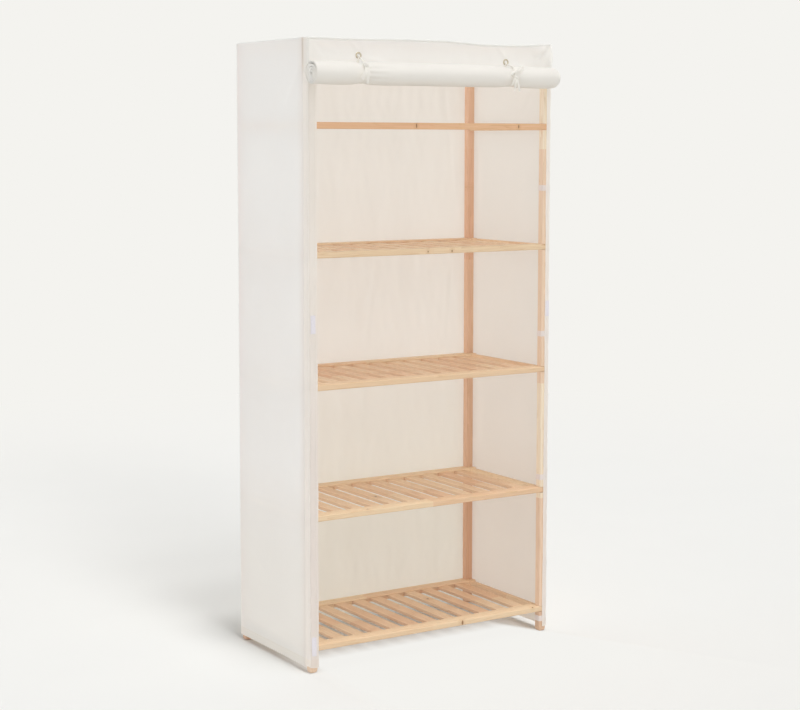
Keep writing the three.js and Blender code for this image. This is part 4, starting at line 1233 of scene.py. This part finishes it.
def stitch_row(path, out, pitch=3.3, length=2.3, half=0.26):
    """Single stitches along a line of points, each a small lens lying on the cloth."""
    run = run_along(path)
    out = np.asarray(out, dtype=float)
    verts, faces = [], []
    for start in np.arange(pitch / 2, run[-1] - length, pitch):
        a, b = at_run(start, run, path), at_run(start + length, run, path)
        side = np.cross(out, b - a)
        side *= half / np.linalg.norm(side)
        base = len(verts)
        for share in (0.22, 0.78):
            centre = a + (b - a) * share
            verts.extend([centre + side, centre + out * half, centre - side, centre - out * half])
        verts.extend([a - out * half * 0.8, b - out * half * 0.8])
        for k in range(4):
            m = (k + 1) % 4
            faces.append((base + k, base + m, base + 4 + m, base + 4 + k))
            faces.append((base + 8, base + m, base + k))
            faces.append((base + 9, base + 4 + k, base + 4 + m))
    return verts, faces


def strip_rows(sign, strip):
    """The stitch lines of a strip: along its inner edge and beside the side seam, above the hem."""
    keep = strip[0, :, 2] > HEM_TOP + 2
    inner = np.array([
        at_run(run[-1] - STRIP_STITCHES, run, column)
        for run, column in ((run_along(strip[:, j]), strip[:, j]) for j in np.flatnonzero(keep))
    ])
    beside = points(strip[6, keep, 0] + sign * 0.75, strip[6, keep, 1], strip[0, keep, 2])
    return (inner + np.array([0, -1.05, 0]), (0, -1, 0)), (beside, (sign, 0, 0))


def stitches():
    lift = (CLOTH + HEM_EXTRA) / 2 + 0.15
    depth = np.linspace(SEAM_Y + 3, BACK_Y - 3, 60)
    width = np.linspace(-SIDE_X + 3, SIDE_X - 3, 100)
    rows = []
    for sign, _ in SIDES:
        rows.append((points(sign * (SIDE_X + lift), depth, HEM_STITCHES), (sign, 0, 0)))
        rows.extend(strip_rows(sign, strips[sign]))
    rows.append((points(width, BACK_Y + lift, HEM_STITCHES), (0, 1, 0)))
    rows.append((points(width, FRONT_Y - 0.85, ROOF_Z - 5 - front_dip(width)), (0, -1, 0)))
    verts, faces = [], []
    for path, out in rows:
        row_verts, row_faces = stitch_row(path, out)
        start = len(verts)
        verts.extend(row_verts)
        faces.extend(tuple(i + start for i in face) for face in row_faces)
    make_piece("stitches", np.array(verts), faces, thread, sharp=40)


stitches()


# Floor, backdrop and light

BACKDROP = (0.905, 0.896, 0.863)
FLOOR_TONES = (0.815, 0.812, 0.790), (0.827, 0.824, 0.802)
FLOOR_REACH = 30.0
# The stretches over which the floor runs into the backdrop, in metres, far off and, as painted light, ahead
FAR_OFF = (2.4, 5.0)
AHEAD_Y, AHEAD_X, AHEAD_MOST = (0.055, -0.072), (-0.40, -0.34), 0.97
AHEAD_END_Y, AHEAD_END_X = (-0.95, -0.50), (0.80, 0.45)
# Beside the right foot the painted light ahead stops at a slanting line, and the floor's shadow shows
FOOT_LINE_SLOPE, FOOT_LINE_START = 1.92, -0.579
FOOT_LINE_WIDTH, FOOT_LINE_X = (-0.026, 0.026), (0.29, 0.37)


def make_floor():
    """A plain floor with the shadows that, to the camera, runs into the backdrop far off. Ahead of the
    wardrobe it runs into the backdrop too, painted light over the shade under the bottom shelf, but not
    beside the right foot."""
    n = Nodes(bpy.data.materials.new("studio_floor"))
    place = n.place()
    x, y, _ = n.split(place)
    colour = n.mix(n.noise(place, 3.0, 2.0), *FLOOR_TONES)
    plain = n.add("ShaderNodeBsdfDiffuse", {"Color": colour, "Roughness": 0.5}).outputs[0]
    glow = n.add("ShaderNodeEmission", {"Color": (*BACKDROP, 1), "Strength": 1.0}).outputs[0]
    far = n.ramp(n.length(place), *FAR_OFF)
    # Painted light: ahead of the wardrobe the backdrop's brightness covers the floor's shade
    ahead = n.times(n.ramp(y, *AHEAD_Y, 0.0, AHEAD_MOST), n.ramp(x, *AHEAD_X))
    beside_foot = n.math("ADD", y, n.math("MULTIPLY_ADD", x, FOOT_LINE_SLOPE, FOOT_LINE_START))
    shaded = n.times(n.ramp(beside_foot, *FOOT_LINE_WIDTH), n.ramp(x, *FOOT_LINE_X))
    ahead = n.times(ahead, n.math("SUBTRACT", 1.0, shaded))
    ahead = n.times(ahead, n.times(n.ramp(x, *AHEAD_END_X), n.ramp(y, *AHEAD_END_Y)))
    camera_ray = n.add("ShaderNodeLightPath").outputs["Is Camera Ray"]
    backed = n.times(n.math("MAXIMUM", far, ahead), camera_ray)
    mesh = bpy.data.meshes.new("floor")
    corners = [(sx * FLOOR_REACH, sy * FLOOR_REACH, 0) for sx, sy in ((-1, -1), (1, -1), (1, 1), (-1, 1))]
    mesh.from_pydata(corners, [], [(0, 1, 2, 3)])
    mesh.materials.append(n.finish(n.mix_shader(backed, plain, glow)))
    floor = bpy.data.objects.new("floor", mesh)
    scene.collection.objects.link(floor)


def make_world():
    n = Nodes(bpy.data.worlds.new("studio"))
    rays = n.add("ShaderNodeLightPath").outputs
    lit = n.add("ShaderNodeBackground", {"Color": (*PLAIN, 1), "Strength": 0.45}).outputs[0]
    seen = n.add("ShaderNodeBackground", {"Color": (*BACKDROP, 1), "Strength": 1.0}).outputs[0]
    shown = n.math("MAXIMUM", rays["Is Camera Ray"], rays["Is Glossy Ray"])
    shown = n.math("MAXIMUM", shown, rays["Is Transmission Ray"])
    scene.world = n.finish(n.mix_shader(shown, lit, seen), "ShaderNodeOutputWorld")


def sun(name, azimuth, elevation, strength, width, shadow=True, colour=PLAIN):
    """Light from an azimuth (0 is the front, positive to the right) and an elevation, in degrees."""
    data = bpy.data.lights.new(name, "SUN")
    data.energy = strength * math.pi
    data.angle = math.radians(width)
    data.color = colour
    data.use_shadow = shadow
    lamp = bpy.data.objects.new(name, data)
    a, e = math.radians(azimuth), math.radians(elevation)
    towards = Vector((-math.sin(a) * math.cos(e), math.cos(a) * math.cos(e), -math.sin(e)))
    lamp.rotation_euler = towards.to_track_quat("-Z", "Y").to_euler()
    scene.collection.objects.link(lamp)


# A soft light from above the front: azimuth, elevation, strength and width of each part
KEY = (
    (12, 84, 0.330, 9),
    (3, 70, 0.11, 10),
    (4, 57, 0.06, 10),
    (3, 46, 0.04, 12),
    (-13, 33, 0.04, 16),
    (-4, 24, 0.06, 16),
)

make_floor()
make_world()
for key_number, key_light in enumerate(KEY, 1):
    sun(f"key_{key_number}", *key_light)
sun("side_fill", -115, 4, 0.25, 20, shadow=False, colour=(0.955, 1.0, 1.06))
sun("front_fill", 5, 5, 0.135, 20, shadow=False)

scene.view_settings.view_transform = "Standard"
